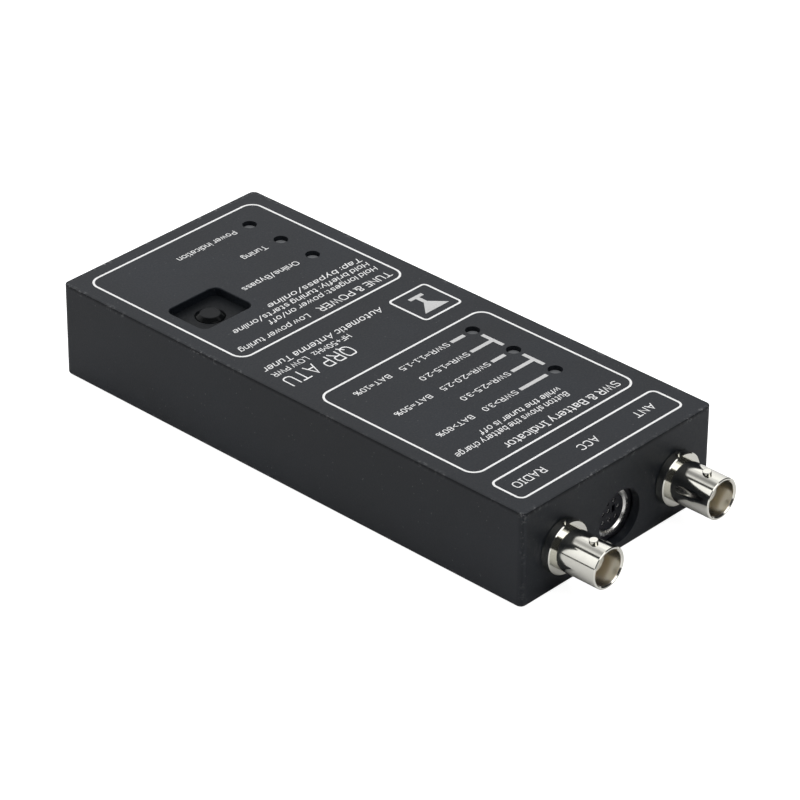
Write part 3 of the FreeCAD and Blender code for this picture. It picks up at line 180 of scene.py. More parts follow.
def moulded(name, color, rough, spread=0.08, depth=0.012, **fixed):
    """Moulded or fired material: slow colour drift, fine grain and a matching roughness."""
    s = Shader(name, **fixed)
    drift = s.noise(180.0, 3.0, 0.6)
    fine = s.noise(1400.0, 3.0, 0.6)
    hue = s.mix(s.full(drift), tinted(color, 1 - spread), tinted(color, 1 + spread))
    hue = s.mix(s.span(fine, 0.55, 0.75, 0.0, 0.5), hue, tinted(color, 1 + 2 * spread))
    gloss = s.full(fine, rough - 0.06, rough + 0.06)
    return s.set(Base_Color=hue, Roughness=gloss, Normal=s.bump(fine, depth * MM))


TURNED = (2600.0, 900.0, 2600.0)
TARNISH = (0.5, 0.45, 0.36)
BORE_DULLER = 0.13


def metal(name, color, rough, spread, brush=TURNED, depth=0.001, stain=TARNISH, bore_lit_tone=None):
    """Plated or plain metal: handling haze, fine scratches and a little tarnish.

    The insides of the jacks are duller, and have the lighter, warmer colour given for them:
    painted warm light inside the jacks' mouths.
    """
    s = Shader(name, Metallic=1.0)
    haze = s.noise(220.0, 4.0, 0.6)
    lines = s.noise(1.0, 3.0, 0.7, at=s.stretched(*brush))
    hue = s.mix(s.span(haze, 0.35, 0.7), tinted(color, 1 + spread), tinted(color, 1 - spread))
    hue = s.mix(s.span(s.noise(700.0, 3.0, 0.7), 0.62, 0.8, 0.0, 0.35), hue, stain)
    haze_gloss = s.full(haze, rough * 0.8, rough * 1.15)
    gloss = s.math("ADD", haze_gloss, s.span(lines, 0.5, 0.8, 0.0, 0.05))
    # Painted light: inside the jacks' mouths the metal takes a lighter, warmer tone
    if bore_lit_tone:
        inside = jack_bore(s)
        hue = s.mix(inside, hue, bore_lit_tone)
        gloss = s.math("ADD", gloss, s.span(inside, 0.0, 1.0, 0.0, BORE_DULLER))
    return s.set(Base_Color=hue, Roughness=gloss, Normal=s.bump(lines, depth * MM))


def jack_bore(s):
    """One inside the open end of either jack, nought elsewhere."""
    x, y, z = s.axes()
    across = s.math("SUBTRACT", s.math("ABSOLUTE", x), JACK_X)
    up = s.math("SUBTRACT", z, JACK_Z)
    squared = s.math("ADD", s.times(across, across), s.times(up, up))
    # The border lies within the barrel's metal, so it never shows
    inside = s.span(squared, (1.01 * BORE_RADIUS) ** 2, (1.04 * BORE_RADIUS) ** 2, 1.0, 0.0)
    return s.times(inside, s.span(y, BORE_FROM_Y, BORE_FROM_Y + 0.2 * MM))


# ---------------------------------------------------------------- the coated case

COAT = (0.0056, 0.0078, 0.0118)
COAT_EDGE = (0.17, 0.171, 0.175)
COAT_SPECK = (0.12, 0.12, 0.125)
COAT_SHINE = 0.40


def coat_material(name):
    """Black textured coat on aluminium: fine grain, pale specks, edges rubbed lighter, and painted
    shade along the edges.
    """
    s = Shader(name)
    slow = s.noise(45.0, 3.0, 0.55)
    fine = s.noise(2300.0, 2.0, 0.6)
    finer = s.noise(5200.0, 2.0, 0.5)
    hue = s.mix(s.full(slow), tinted(COAT, 0.78), tinted(COAT, 1.25))
    hue = s.mix(s.span(fine, 0.5, 0.8, 0.0, 0.55), hue, tinted(COAT, 1.9))
    dots = s.span(s.cells(900.0), 0.10, 0.16, 1.0, 0.0)
    speck = s.times(dots, s.span(s.noise(320.0, 2.0), 0.56, 0.62))
    hue = s.mix(s.times(speck, 0.35), hue, COAT_SPECK)
    hue, shine = edge_looks(s, hue)
    gloss = s.full(fine, 0.50, 0.60)
    rise = s.math("ADD", s.times(fine, 0.7), s.times(finer, 0.3))
    s.set(Specular_IOR_Level=shine)
    return s.set(Base_Color=hue, Roughness=gloss, Normal=s.bump(rise, 0.022 * MM))


def edge_looks(s, hue):
    """Paint shade on the very edges of the case and on a band under its top edge, standing in for
    the dark reflection of the rounded edges, and rub the edges' sides lighter with wear.

    Of the distances to the case's three pairs of faces, the middle one is the distance to an edge.
    """
    x, y, z = s.axes()
    from_x = s.math("SUBTRACT", CASE_HIGH.x, s.math("ABSOLUTE", x))
    from_y = s.math("SUBTRACT", CASE_HIGH.y, s.math("ABSOLUTE", y))
    from_top = s.math("SUBTRACT", TOP_Z, z)
    from_z = s.math("MINIMUM", from_top, z)
    least = s.math("MINIMUM", from_x, s.math("MINIMUM", from_y, from_z))
    most = s.math("MAXIMUM", from_x, s.math("MAXIMUM", from_y, from_z))
    total = s.math("ADD", from_x, s.math("ADD", from_y, from_z))
    edge = s.math("SUBTRACT", s.math("SUBTRACT", total, least), most)

    # Painted shade: a dark line along the very edges, standing in for the dark reflection of the
    # rounded edges
    darker = tinted(COAT, 0.35)
    thin = s.span(edge, 0.25 * MM, 0.75 * MM, 1.0, 0.0)
    hue = s.mix(s.times(thin, 0.3), hue, darker)
    near = s.span(edge, 0.35 * MM, 1.2 * MM, 1.0, 0.0)
    rubbed = s.times(near, s.span(s.noise(900.0, 4.0, 0.8), 0.52, 0.64))
    rubbed = s.times(rubbed, s.span(s.noise(90.0, 2.0), 0.43, 0.57))
    less_on_uprights = s.span(from_z, 1.2 * MM, 3.0 * MM, 1.0, 0.4)
    hue = s.mix(s.times(s.times(rubbed, less_on_uprights), 0.78), hue, COAT_EDGE)

    # Painted shade: a dark band on the walls just under the top edge
    on_wall = s.span(s.math("MINIMUM", from_x, from_y), 0.10 * MM, 0.14 * MM, 1.0, 0.0)
    band = s.times(on_wall, s.span(from_top, 0.2 * MM, 0.8 * MM, 1.0, 0.0))
    hue = s.mix(s.times(band, 0.6), hue, darker)
    # Less shine where the shade is painted
    dull = s.math("MAXIMUM", s.times(thin, COAT_SHINE * 0.25), s.times(band, COAT_SHINE * 0.5))
    return hue, s.math("SUBTRACT", COAT_SHINE, dull)


# ---------------------------------------------------------------- other materials


def ink_material(name, low, high):
    """Screen-printed white ink: slightly uneven, with pin holes."""
    s = Shader(name, Specular_IOR_Level=0.35)
    patch = s.noise(260.0, 3.0, 0.6)
    fine = s.noise(3000.0, 3.0, 0.6)
    hue = s.mix(s.full(patch), (low, low, low), (high, high, high))
    hue = s.mix(s.span(fine, 0.60, 0.74, 0.0, 0.55), hue, (0.42, 0.42, 0.43))
    gloss = s.full(patch, 0.55, 0.68)
    return s.set(Base_Color=hue, Roughness=gloss, Normal=s.bump(fine, 0.006 * MM))


def board_material():
    """Green solder mask with the faint relief of the copper under it."""
    s = Shader("board_mask", Coat_Weight=0.25, Coat_Roughness=0.25)
    tracks = s.cells(240.0, "DISTANCE_TO_EDGE")
    relief = s.span(tracks, 0.06, 0.10)
    drift = s.noise(90.0, 3.0)
    hue = s.mix(s.full(drift), (0.012, 0.105, 0.045), (0.02, 0.14, 0.065))
    hue = s.mix(s.times(relief, 0.45), hue, (0.03, 0.20, 0.09))
    gloss = s.full(drift, 0.32, 0.45)
    return s.set(Base_Color=hue, Roughness=gloss, Normal=s.bump(relief, 0.02 * MM))


def foil_material():
    """Aluminium pouch foil with soft wrinkles."""
    s = Shader("cell_foil", Metallic=0.9)
    folds = s.noise(130.0, 4.0, 0.55, twist=1.2)
    fine = s.noise(900.0, 2.0)
    hue = s.mix(s.full(folds), (0.58, 0.59, 0.61), (0.70, 0.71, 0.73))
    gloss = s.full(fine, 0.26, 0.4)
    return s.set(Base_Color=hue, Roughness=gloss, Normal=s.bump(folds, 0.25 * MM))


def copper_material(name, color):
    """Enamelled wire: a clear coat over copper, darker in patches."""
    s = Shader(name, Metallic=1.0, Coat_Weight=0.6, Coat_Roughness=0.12)
    drift = s.noise(400.0, 3.0, 0.6)
    fine = s.noise(2500.0, 2.0)
    hue = s.mix(s.full(drift), tinted(color, 0.8), tinted(color, 1.15))
    gloss = s.full(fine, 0.2, 0.34)
    return s.set(Base_Color=hue, Roughness=gloss, Normal=s.bump(fine, 0.004 * MM))


def translucent_material(name, color):
    """Milky plastic that light sinks into, a little further for its warmer colours."""
    return moulded(
        name,
        color,
        0.42,
        0.04,
        Subsurface_Weight=1.0,
        Subsurface_Scale=1.4 * MM,
        Subsurface_Radius=(1.0, 0.95, 0.85),
    )


def button_material():
    """Black moulding, matt on its flat top and glossy on the slope below it, with painted shade
    making the slope's colour darker than the top's.
    """
    s = Shader("button_black")
    height = s.axes()[2]
    top = s.span(height, CAP_TOP_Z - 0.12 * MM, CAP_TOP_Z - 0.04 * MM)
    fine = s.noise(2200.0, 3.0, 0.6)
    # Painted shade: the slope is coloured darker than the flat top
    hue = s.mix(s.span(fine, 0.4, 0.7), (0.003, 0.0034, 0.0038), (0.0048, 0.0052, 0.0056))
    hue = s.mix(top, hue, (0.010, 0.011, 0.0125))
    gloss = s.math("ADD", s.span(top, 0.0, 1.0, 0.13, 0.50), s.full(fine, 0.0, 0.06))
    s.set(Specular_IOR_Level=s.span(top, 0.0, 1.0, 0.10, 0.14))
    return s.set(Base_Color=hue, Roughness=gloss, Normal=s.bump(fine, 0.003 * MM))


ROLLED = (300.0, 4000.0, 4000.0)
PLATED = (900.0, 3200.0, 900.0)
BLACKENED = (0.12, 0.12, 0.12)
# Painted warm light for the insides of the jacks, lighter than the nickel outside
BORE_LIT_TONE = (0.94, 0.90, 0.82)

# The material of each slot in the record, as colour, roughness and spread of tone
BY_SLOT = {
    "black_coat": coat_material("black_coat"),
    "black_steel": metal(
        "black_steel", (0.05, 0.05, 0.052), 0.36, 0.1, depth=0.003, stain=BLACKENED
    ),
    "nickel": metal("nickel", (0.74, 0.73, 0.67), 0.10, 0.03, PLATED, depth=0.0004, bore_lit_tone=BORE_LIT_TONE),
    "white_ptfe": translucent_material("white_ptfe", (0.97, 0.86, 0.73)),
    "gold_contact": metal("gold_contact", (0.84, 0.78, 0.66), 0.34, 0.06),
    "tinned_copper": metal("tinned_copper", (0.66, 0.65, 0.62), 0.26, 0.08),
    "socket_black": moulded("socket_black", (0.014, 0.014, 0.018), 0.42, 0.15),
    "board_green": board_material(),
    "bezel_black": moulded(
        "bezel_black", (0.007, 0.008, 0.0095), 0.55, 0.15, Specular_IOR_Level=0.16
    ),
    "button_black": button_material(),
    "switch_black": moulded("switch_black", (0.015, 0.015, 0.016), 0.45, 0.15),
    "stamped_steel": metal("stamped_steel", (0.60, 0.60, 0.58), 0.28, 0.05, ROLLED, depth=0.002),
    "light_guide": moulded("light_guide", (0.125, 0.129, 0.135), 0.45, 0.08),
    "light_lens": moulded("light_lens", (0.75, 0.75, 0.66), 0.22, 0.06, Subsurface_Weight=0.1),
    "relay_case": moulded("relay_case", (0.74, 0.73, 0.67), 0.34, 0.05),
    "iron_powder": moulded("iron_powder", (0.42, 0.035, 0.025), 0.40, 0.12, depth=0.03),
    "ferrite": moulded("ferrite", (0.045, 0.045, 0.048), 0.62, 0.15, depth=0.03),
    "enamelled_copper": copper_material("enamelled_copper", (0.72, 0.26, 0.10)),
    "capacitor_body": moulded("capacitor_body", (0.42, 0.28, 0.15), 0.50, 0.1),
    "chip_black": moulded("chip_black", (0.018, 0.018, 0.019), 0.50, 0.15, depth=0.02),
    "cell_foil": foil_material(),
}

# The parts of the accessory socket, which look different from others with the same slot
BY_NODE = {
    "acc_socket_shield": metal("socket_ring", (0.94, 0.93, 0.90), 0.30, 0.03, depth=0.0004),
    "acc_socket_contacts": metal("socket_contact", (0.90, 0.90, 0.88), 0.28, 0.05, depth=0.0004),
    "acc_socket_insert": moulded(
        "socket_insert", (0.007, 0.0078, 0.0125), 0.42, 0.15, Specular_IOR_Level=0.30
    ),
}

for entry in frame["record"]["subparts"]:
    mesh = nodes[entry["node"]].data
    mesh.materials.clear()
    mesh.materials.append(BY_NODE.get(entry["node"]) or BY_SLOT[entry["material_slot"]])


# ---------------------------------------------------------------- the snap dome under the button


def make_snap_dome():
    """A copy of the snap dome under the button, fixed to the tuner, in place of the CAD node,
    which is hidden.
    """
    node = nodes["switch_dome"]
    dome = bpy.data.objects.new("snap_dome", node.data.copy())
    bpy.context.scene.collection.objects.link(dome)
    dome.matrix_world = node.matrix_world
    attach(dome, "tuner")
    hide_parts("switch_dome")
    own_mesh(dome)


make_snap_dome()

# ---------------------------------------------------------------- how the legends are printed

# Sizes and places of the print are in millimetres on the top face, but heights are in metres
INK = ink_material("white_ink", 0.77, 0.85)
SOLID_INK = ink_material("white_ink_solid", 0.50, 0.57)
INK_LOW = TOP_Z - 0.01 * MM
INK_HIGH = TOP_Z + 0.03 * MM
LINE = 0.52
BAR_THICK = 1.03
BAR_CORNER = 0.12
TEE_THICK = 1.0
TEE_STEM = 1.04


def show(name, bm, ink=INK):
    """Make the built mesh a piece of its own, fixed to the tuner."""
    mesh = bpy.data.meshes.new(name)
    bmesh.ops.recalc_face_normals(bm, faces=bm.faces)
    bm.to_mesh(mesh)
    bm.free()
    mesh.materials.append(ink)
    obj = bpy.data.objects.new(name, mesh)
    bpy.context.scene.collection.objects.link(obj)
    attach(obj, "tuner")


def plate(bm, points):
    """A thin closed plate inside one outline."""
    low = [bm.verts.new((x * MM, y * MM, INK_LOW)) for x, y in points]
    high = [bm.verts.new((x * MM, y * MM, INK_HIGH)) for x, y in points]
    bm.faces.new(high)
    bm.faces.new(low[::-1])
    for i in range(len(points)):
        j = (i + 1) % len(points)
        bm.faces.new((low[i], low[j], high[j], high[i]))


def strip(bm, left, right, closed, lift=0.0):
    """A thin band between two rows of points, closed all round. Lift thickens it both ways."""
    sections = []
    low, high = INK_LOW - lift, INK_HIGH + lift
    for (lx, ly), (rx, ry) in zip(left, right):
        corners = ((lx, ly, low), (lx, ly, high), (rx, ry, high), (rx, ry, low))
        sections.append([bm.verts.new((x * MM, y * MM, z)) for x, y, z in corners])
    for i in range(len(sections) if closed else len(sections) - 1):
        one, two = sections[i], sections[(i + 1) % len(sections)]
        for k in range(4):
            m = (k + 1) % 4
            bm.faces.new((one[k], one[m], two[m], two[k]))
    if not closed:
        bm.faces.new(sections[0])
        bm.faces.new(sections[-1][::-1])


def solid(name, points):
    bm = bmesh.new()
    plate(bm, points)
    show(name, bm, SOLID_INK)


def rounded(left, right, low, high, radius, steps=8):
    """The points of a rectangle with rounded corners, anticlockwise."""
    points = []
    centres = (
        (right - radius, high - radius, 0),
        (left + radius, high - radius, 90),
        (left + radius, low + radius, 180),
        (right - radius, low + radius, 270),
    )
    for cx, cy, start in centres:
        for k in range(steps + 1):
            a = math.radians(start + 90 * k / steps)
            points.append((cx + radius * math.cos(a), cy + radius * math.sin(a)))
    return points


def outline(name, left, right, low, high, radius):
    """A printed frame. The sides given are the middle of its line."""
    h = LINE / 2
    outer = rounded(left - h, right + h, low - h, high + h, radius + h)
    inner = rounded(left + h, right - h, low + h, high - h, radius - h)
    bm = bmesh.new()
    strip(bm, outer, inner, True)
    show(name, bm)


def bar(name, left, right, y):
    h = BAR_THICK / 2
    solid(name, rounded(left, right, y - h, y + h, BAR_CORNER, 3))


def tee(name, x, low, high, stem_y, stem_end):
    """A T on its side: an upright from low to high, and a stem to the right."""
    h, s = TEE_THICK / 2, TEE_STEM / 2
    points = (
        (x - h, low),
        (x + h, low),
        (x + h, stem_y - s),
        (stem_end, stem_y - s),
        (stem_end, stem_y + s),
        (x + h, stem_y + s),
        (x + h, high),
        (x - h, high),
    )
    solid(name, points)


# Each letter is a set of pen strokes on a grid where capitals are 10 tall and small letters 7.4.
# A stroke that starts with ~ is a smooth curve, and one that ends where it starts is a loop.
LETTERS = {
    "A": "0,0 4,10 8,0;1.3,3.2 6.7,3.2",
    "B": "0,0 0,10;~0,10 3,10 6,10 6,5.3 3,5.3 0,5.3;~0,5.3 3,5.3 6.5,5.3 6.5,0 3,0 0,0",
    "C": "~7,8.6 5.6,10 0,10 0,0 5.6,0 7,1.4",
    "D": "0,0 0,10;~0,10 3.2,10 7.6,10 7.6,0 3.2,0 0,0",
    "E": "5.4,10 0,10 0,0 5.4,0;0,5.2 4.9,5.2",
    "F": "5.2,10 0,10 0,0;0,5 4.6,5",
    "H": "0,0 0,10;7,0 7,10;0,5.2 7,5.2",
    "I": "1.7,0 1.7,10;0,0 3.4,0;0,10 3.4,10",
    "L": "0,10 0,0 5,0",
    "M": "0,0 0,10 4.2,3.5 8.4,10 8.4,0",
    "N": "0,0 0,10 7,0 7,10",
    "O": "~4.2,10 0,10 0,0 8.4,0 8.4,10 4.2,10",
    "P": "0,0 0,10;~0,10 3,10 6.4,10 6.4,4.4 3,4.4 0,4.4",
    "Q": "~4.2,10 0,10 0,0 8.4,0 8.4,10 4.2,10;4.8,2.4 8,-1.2",
    "R": "0,0 0,10;~0,10 3,10 6.2,10 6.2,4.8 3,4.8 0,4.8;3,4.8 6.9,0",
    "S": "~6,8.9 4.6,10 0,10 0,5.6 3.1,5.1 6.2,4.6 6.2,0 1.4,0 0,1.2",
    "T": "0,10 7.4,10;3.7,10 3.7,0",
    "U": "~0,10 0,5 0,0 7,0 7,5 7,10",
    "W": "0,10 2.6,0 5.25,10 7.9,0 10.5,10",
    "a": "~0.5,6.4 1.6,7.4 5.2,7.4 5.2,3.5 5.2,0;~5.2,4.3 2.6,4.4 0,4.2 0,0 3,0 5.2,1.6",
    "b": "0,10 0,0;~0,5.8 1.8,7.4 5.8,7.4 5.8,0 1.8,0 0,1.4",
    "c": "~4.8,6.6 3.8,7.4 0,7.4 0,0 3.8,0 4.8,0.9",
    "d": "5.8,10 5.8,0;~5.8,5.8 4,7.4 0,7.4 0,0 4,0 5.8,1.4",
    "e": "0.1,3.8 5.8,3.8;~5.8,3.8 5.8,7.4 0,7.4 0,0 4.4,0 5.6,0.9",
    "f": "~4,10 1.4,10 1.4,7 1.4,0;0,7.2 3.7,7.2",
    "g": "~5.8,5.8 4,7.4 0,7.4 0,0.3 4,0.3 5.8,1.6;~5.8,7.4 5.8,3 5.8,-2.9 1.6,-2.9 0.5,-2.2",
    "h": "0,10 0,0;~0,5.4 1.8,7.4 5.6,7.4 5.6,4 5.6,0",
    "i": "0,0 0,7.2;0,9.7 0,10.2",
    "l": "0,0 0,10",
    "m": "0,0 0,7.2;~0,5.4 1.4,7.4 4.5,7.4 4.5,4 4.5,0;~4.5,5.4 5.9,7.4 9,7.4 9,4 9,0",
    "n": "0,0 0,7.2;~0,5.4 1.8,7.4 5.6,7.4 5.6,4 5.6,0",
    "o": "~3.1,7.4 0,7.4 0,0 6.2,0 6.2,7.4 3.1,7.4",
    "p": "0,7.2 0,-2.9;~0,5.8 1.8,7.4 5.8,7.4 5.8,0 1.8,0 0,1.4",
    "r": "0,0 0,7.2;~0,4.8 1.2,7.3 3.6,7.2",
    "s": "~4.4,6.6 3.4,7.4 0,7.4 0,4.2 2.4,3.8 4.8,3.4 4.8,0 1,0 0,0.8",
    "t": "~1.3,9.4 1.3,4 1.3,0 3.7,0;0,7.2 3.7,7.2",
    "u": "5.6,0 5.6,7.2;~0,7.2 0,4 0,0 3.8,0 5.6,1.8",
    "w": "0,7.2 2.1,0 4.2,7.2 6.3,0 8.4,7.2",
    "y": "0,7.2 2.9,0;5.8,7.2 1.7,-2.9",
    "z": "0,7.2 4.8,7.2 0,0 4.8,0",
    "0": "~2.9,10 0,10 0,0 5.8,0 5.8,10 2.9,10",
    "1": "0.1,8.3 2.1,10 2.1,0;0,0 4.2,0",
    "2": "~0.2,8.8 1.4,10 5.2,10 5.2,6.2 2.6,3 0,0;0,0 5.6,0",
    "3": "~0.3,9.2 1.4,10 5.3,10 5.3,5.4 2,5.4;~2,5.4 5.8,5.4 5.8,0 1.4,0 0,0.9",
    "5": "5.2,10 0.6,10 0.4,5.8;~0.4,5.8 2.6,6.4 5.9,6.2 5.9,0 2.6,0 0,0.2",
    "8": "~2.9,10 0.3,10 0.3,5.3 5.5,5.3 5.5,10 2.9,10;~2.9,5.3 0,5.3 0,0 5.8,0 5.8,5.3 2.9,5.3",
    "&": "~8,0 4,4.9 0.9,7.8 0.9,10 3.1,10 5.3,10 5.3,7.2 2.7,5.6 0,4.4 0,0 3,0 6,0 7,2.2 7.3,5",
    ">": "0,1.2 6,4.6 0,8",
    "=": "0,3 6,3;0,6.2 6,6.2",
    ".": "0,0 0,0.5",
    "-": "0,3.8 3.2,3.8",
    "%": (
        "7.4,10 1.6,0;~1.9,10 0,10 0,5.4 3.8,5.4 3.8,10 1.9,10;"
        "~7.1,4.6 5.2,4.6 5.2,0 9,0 9,4.6 7.1,4.6"
    ),
    "+": "0,4.2 6,4.2;3,1.2 3,7.2",
    ":": "0,0 0,0.5;0,5.6 0,6.1",
    "/": "0,-1.5 4.4,10.6",
}

# Sizes on the letters' grid
CAPITAL = 10.0
PEN = 1.3
FINE_PEN = 1.0
LETTER_GAP = 3.1
WORD_GAP = 6.4

# How far slanted letters lean, how far a stroke's edges reach into a sharp turn, and how much
# thicker each stroke of a letter is than the one before
SLANT = 0.22
SHARPEST = 0.55
STROKE_STEP = 0.0025 * MM


def pen_strokes(letter):
    """The points of each stroke of a letter, and whether the stroke is a loop."""
    for text in LETTERS[letter].split(";"):
        points = [tuple(float(v) for v in pair.split(",")) for pair in text.strip("~").split()]
        closed = points[0] == points[-1]
        if closed:
            points.pop()
        if text.startswith("~"):
            for _ in range(3):
                points = softened(points, closed)
        yield points, closed


def softened(points, closed):
    """Cut every corner of a run of points at a quarter and three quarters of each span."""
    following = points[1:] + points[:1] if closed else points[1:]
    cut = []
    for (ax, ay), (bx, by) in zip(points, following):
        cut.append((ax * 0.75 + bx * 0.25, ay * 0.75 + by * 0.25))
        cut.append((ax * 0.25 + bx * 0.75, ay * 0.25 + by * 0.75))
    if not closed:
        cut[0], cut[-1] = points[0], points[-1]
    return cut


def pen_edges(points, closed, pen):
    """The two edges of a pen stroke. An open stroke has square ends."""
    spots = [Vector(p) for p in points]
    if not closed:
        spots[0] = spots[0] + (spots[0] - spots[1]).normalized() * pen / 2
        spots[-1] = spots[-1] + (spots[-1] - spots[-2]).normalized() * pen / 2
    last = len(spots) - 1
    left, right = [], []
    for i, spot in enumerate(spots):
        before = spot - spots[i - 1] if closed or i > 0 else spots[1] - spot
        after = spots[(i + 1) % len(spots)] - spot if closed or i < last else before
        side = Vector((-before.y, before.x)).normalized()
        mean = (side + Vector((-after.y, after.x)).normalized()).normalized()
        reach = mean * (pen / 2 / max(mean.dot(side), SHARPEST))
        left.append(tuple(spot + reach))
        right.append(tuple(spot - reach))
    return left, right


def legend(name, words, left, right, y, cap, slant=0.0, pen=PEN):
    """Words from left to right, with capitals of height cap centred on y.

    Each stroke of a letter is thicker than the one before, so that crossing strokes share no face.
    """
    bands = []
    start = 0.0
    for letter in words:
        if letter == " ":
            start += WORD_GAP - LETTER_GAP
            continue
        strokes = list(pen_strokes(letter))
        for order, (points, closed) in enumerate(strokes):
            edges = [
                [(px + start + slant * py, py) for px, py in edge]
                for edge in pen_edges(points, closed, pen)
            ]
            bands.append((edges, closed, order * STROKE_STEP))
        start += max(px for points, _ in strokes for px, _ in points) + LETTER_GAP
    across = [px for edges, _, _ in bands for edge in edges for px, _ in edge]
    low = min(across)
    wide = (right - left) / (max(across) - low)
    tall = cap / (CAPITAL + pen)
    bm = bmesh.new()
    for edges, closed, lift in bands:
        one, two = [
            [(left + (px - low) * wide, y + (py - CAPITAL / 2) * tall) for px, py in edge]
            for edge in edges
        ]
        strip(bm, one, two, closed, lift)
    show(name, bm)


# ---------------------------------------------------------------- the legends

outline("frame_ports", -25.82, 25.71, 55.44, 64.15, 1.6)
legend("legend_ant", "ANT", -21.3, -15.0, 59.65, 2.2)
legend("legend_acc", "ACC", -3.15, 2.9, 59.7, 2.25)
legend("legend_radio", "RADIO", 13.75, 23.1, 59.7, 2.25)

outline("frame_swr", -25.81, 25.67, 6.1, 51.05, 3.0)
legend("legend_swr_title", "SWR & Battery Indicator", -23.0, 12.8, 48.15, 2.3)
legend("legend_swr_note_1", "Button shows the battery charge", -12.45, 22.6, 43.3, 1.85, SLANT)
legend("legend_swr_note_2", "while the tuner is off", -12.45, 12.8, 40.75, 1.75, SLANT)

bar("mark_swr_1", -14.9, -6.3, 35.08)
tee("mark_swr_2", -17.74, 25.72, 31.77, 28.8, -10.7)
bar("mark_swr_3", -14.9, -10.7, 23.0)
tee("mark_swr_4", -17.74, 13.77, 19.97, 16.95, -10.7)
bar("mark_swr_5", -14.9, -10.7, 11.1)

# Each row of the scale: its middle, the left end of its first words, and its words
SCALE = (
    (35.05, -5.3, "SWR>3.0", "BAT>80%"),
    (28.8, -9.85, "SWR=2.5-3.0", ""),
    (23.0, -9.85, "SWR=2.0-2.5", "BAT=50%"),
    (16.95, -9.85, "SWR=1.5-2.0", ""),
    (11.1, -9.85, "SWR=1.1-1.5", "BAT=10%"),
)
for row, (y, left, swr, charge) in enumerate(SCALE, 1):
    legend(f"legend_swr_{row}", swr, left, 5.27, y, 1.6)
    if charge:
        legend(f"legend_charge_{row}", charge, 8.6, 19.55, y + 0.05, 1.6)

outline("frame_symbol", -25.45, -13.93, -10.61, 0.79, 1.0)

# The antenna symbol: half of its outline from the foot to the top, and the middle of its foot
SYMBOL_X, SYMBOL_LOW = -19.75, -8.3
HALF_SYMBOL = ((2.1, 0.0), (2.1, 1.0), (0.55, 1.0), (0.55, 3.4), (3.8, 7.0))
right_half = [(SYMBOL_X + x, SYMBOL_LOW + y) for x, y in HALF_SYMBOL]
left_half = [(SYMBOL_X - x, SYMBOL_LOW + y) for x, y in reversed(HALF_SYMBOL)]
solid("symbol_mast", right_half + left_half)
legend("legend_kind", "QRP ATU", 6.0, 26.0, -2.6, 4.05, pen=FINE_PEN)
legend("legend_bands", "HF+50MHz   LOW PWR", 2.35, 26.0, -6.87, 1.7)
legend("legend_description", "Automatic Antenna Tuner", -11.1, 26.0, -9.7, 2.0, SLANT)

outline("frame_tune", -25.72, 25.81, -64.77, -16.46, 3.0)
legend("legend_tune_title", "TUNE & POWER", -23.6, -0.9, -19.35, 2.2)
legend("legend_tune_note", "Low power tuning", 2.0, 23.6, -19.3, 1.8, SLANT)
legend("legend_press_1", "Hold longest: power on/off", -23.5, 10.9, -23.25, 1.7, SLANT)
legend("legend_press_2", "Hold briefly: tuning starts/online", -23.6, 18.9, -25.85, 1.7, SLANT)
legend("legend_press_3", "Tap: bypass/online", -23.5, 5.7, -28.35, 1.7, SLANT)
legend("legend_status_1", "Online/Bypass", -12.95, 4.2, -37.58, 1.7)
legend("legend_status_2", "Tuning", -13.05, -5.7, -47.6, 1.7)
legend("legend_status_3", "Power indication", -13.1, 4.8, -57.53, 1.7)

# ---------------------------------------------------------------- studio

# The light tent's tones, and its borders as parts of a direction of length one
ROOF_FROM = 0.745
ROOF_LIGHT = 0.95
WALL_END = -0.30
WALL_LOW_LIGHT = 0.90
WALL_HIGH_LIGHT = 1.27
DARK_LIGHT = 0.035
ZENITH = 0.822
ZENITH_LEFT = 0.05
GROUND_SEAM = (-0.005, 0.085, 0.008)
ROOF_SEAM = (0.720, 0.787, 0.012)
JOINT_DARKER = 0.16
LAMP_TOWARDS = (0.02, 0.72, 0.69)
LAMP_EDGE = math.cos(math.radians(19.0))
LAMP_LIGHT = 1.7

FLOOR_HALF = 4.0
SEEN_FLOOR_BELOW = 0.05 * MM
BOUNCE_FLOOR_BELOW = 0.2 * MM
LAMP_AT = (0.0, -0.1, 1.6)
LAMP_SIZE = 1.6
LAMP_WATTS = 20.0

# The photograph's viewpoint, solved from the case's edges
CAMERA_AT = (0.57195, 0.53860, 0.48683)
CAMERA_AZIMUTH = math.radians(132.957)
CAMERA_ELEVATION = math.radians(31.337)
CAMERA_ROLL = math.radians(0.432)
CAMERA_LENS = 189.4


def floor_material(name, low, high, glow, far):
    """A pale matt floor with a slow drift in tone, and another tone beyond the connector end."""
    s = Shader(
        name,
        Specular_IOR_Level=0.2,
        Emission_Color=(1.0, 1.0, 1.0, 1.0),
        Emission_Strength=glow,
    )
    drift = s.noise(2.0, 2.0)
    hue = s.mix(s.full(drift), (low, low, low), (high, high, high))
    hue = s.mix(s.span(s.axes()[1], 70 * MM, 160 * MM), hue, (far, far, far))
    return s.set(Base_Color=hue, Roughness=s.full(drift, 0.7, 0.8))


def make_floor(name, below, material):
    mesh = bpy.data.meshes.new(name)
    h = FLOOR_HALF
    mesh.from_pydata(((-h, -h, 0), (h, -h, 0), (h, h, 0), (-h, h, 0)), [], [(0, 1, 2, 3)])
    mesh.materials.append(material)
    floor = bpy.data.objects.new(name, mesh)
    floor.location.z = CASE_LOW.z - below
    bpy.context.scene.collection.objects.link(floor)
    return floor


def make_floors():
    """The camera sees one floor, which lights nothing. Another just below it gives the bounce."""
    glowing = floor_material("floor", 0.52, 0.56, 0.92, 0.54)
    seen = make_floor("floor", SEEN_FLOOR_BELOW, glowing)
    seen.visible_glossy = False
    seen.visible_diffuse = False
    seen.visible_shadow = False
    plain = floor_material("floor_bounce", 0.68, 0.72, 0.0, 0.95)
    lit = make_floor("floor_bounce", BOUNCE_FLOOR_BELOW, plain)
    lit.visible_camera = False


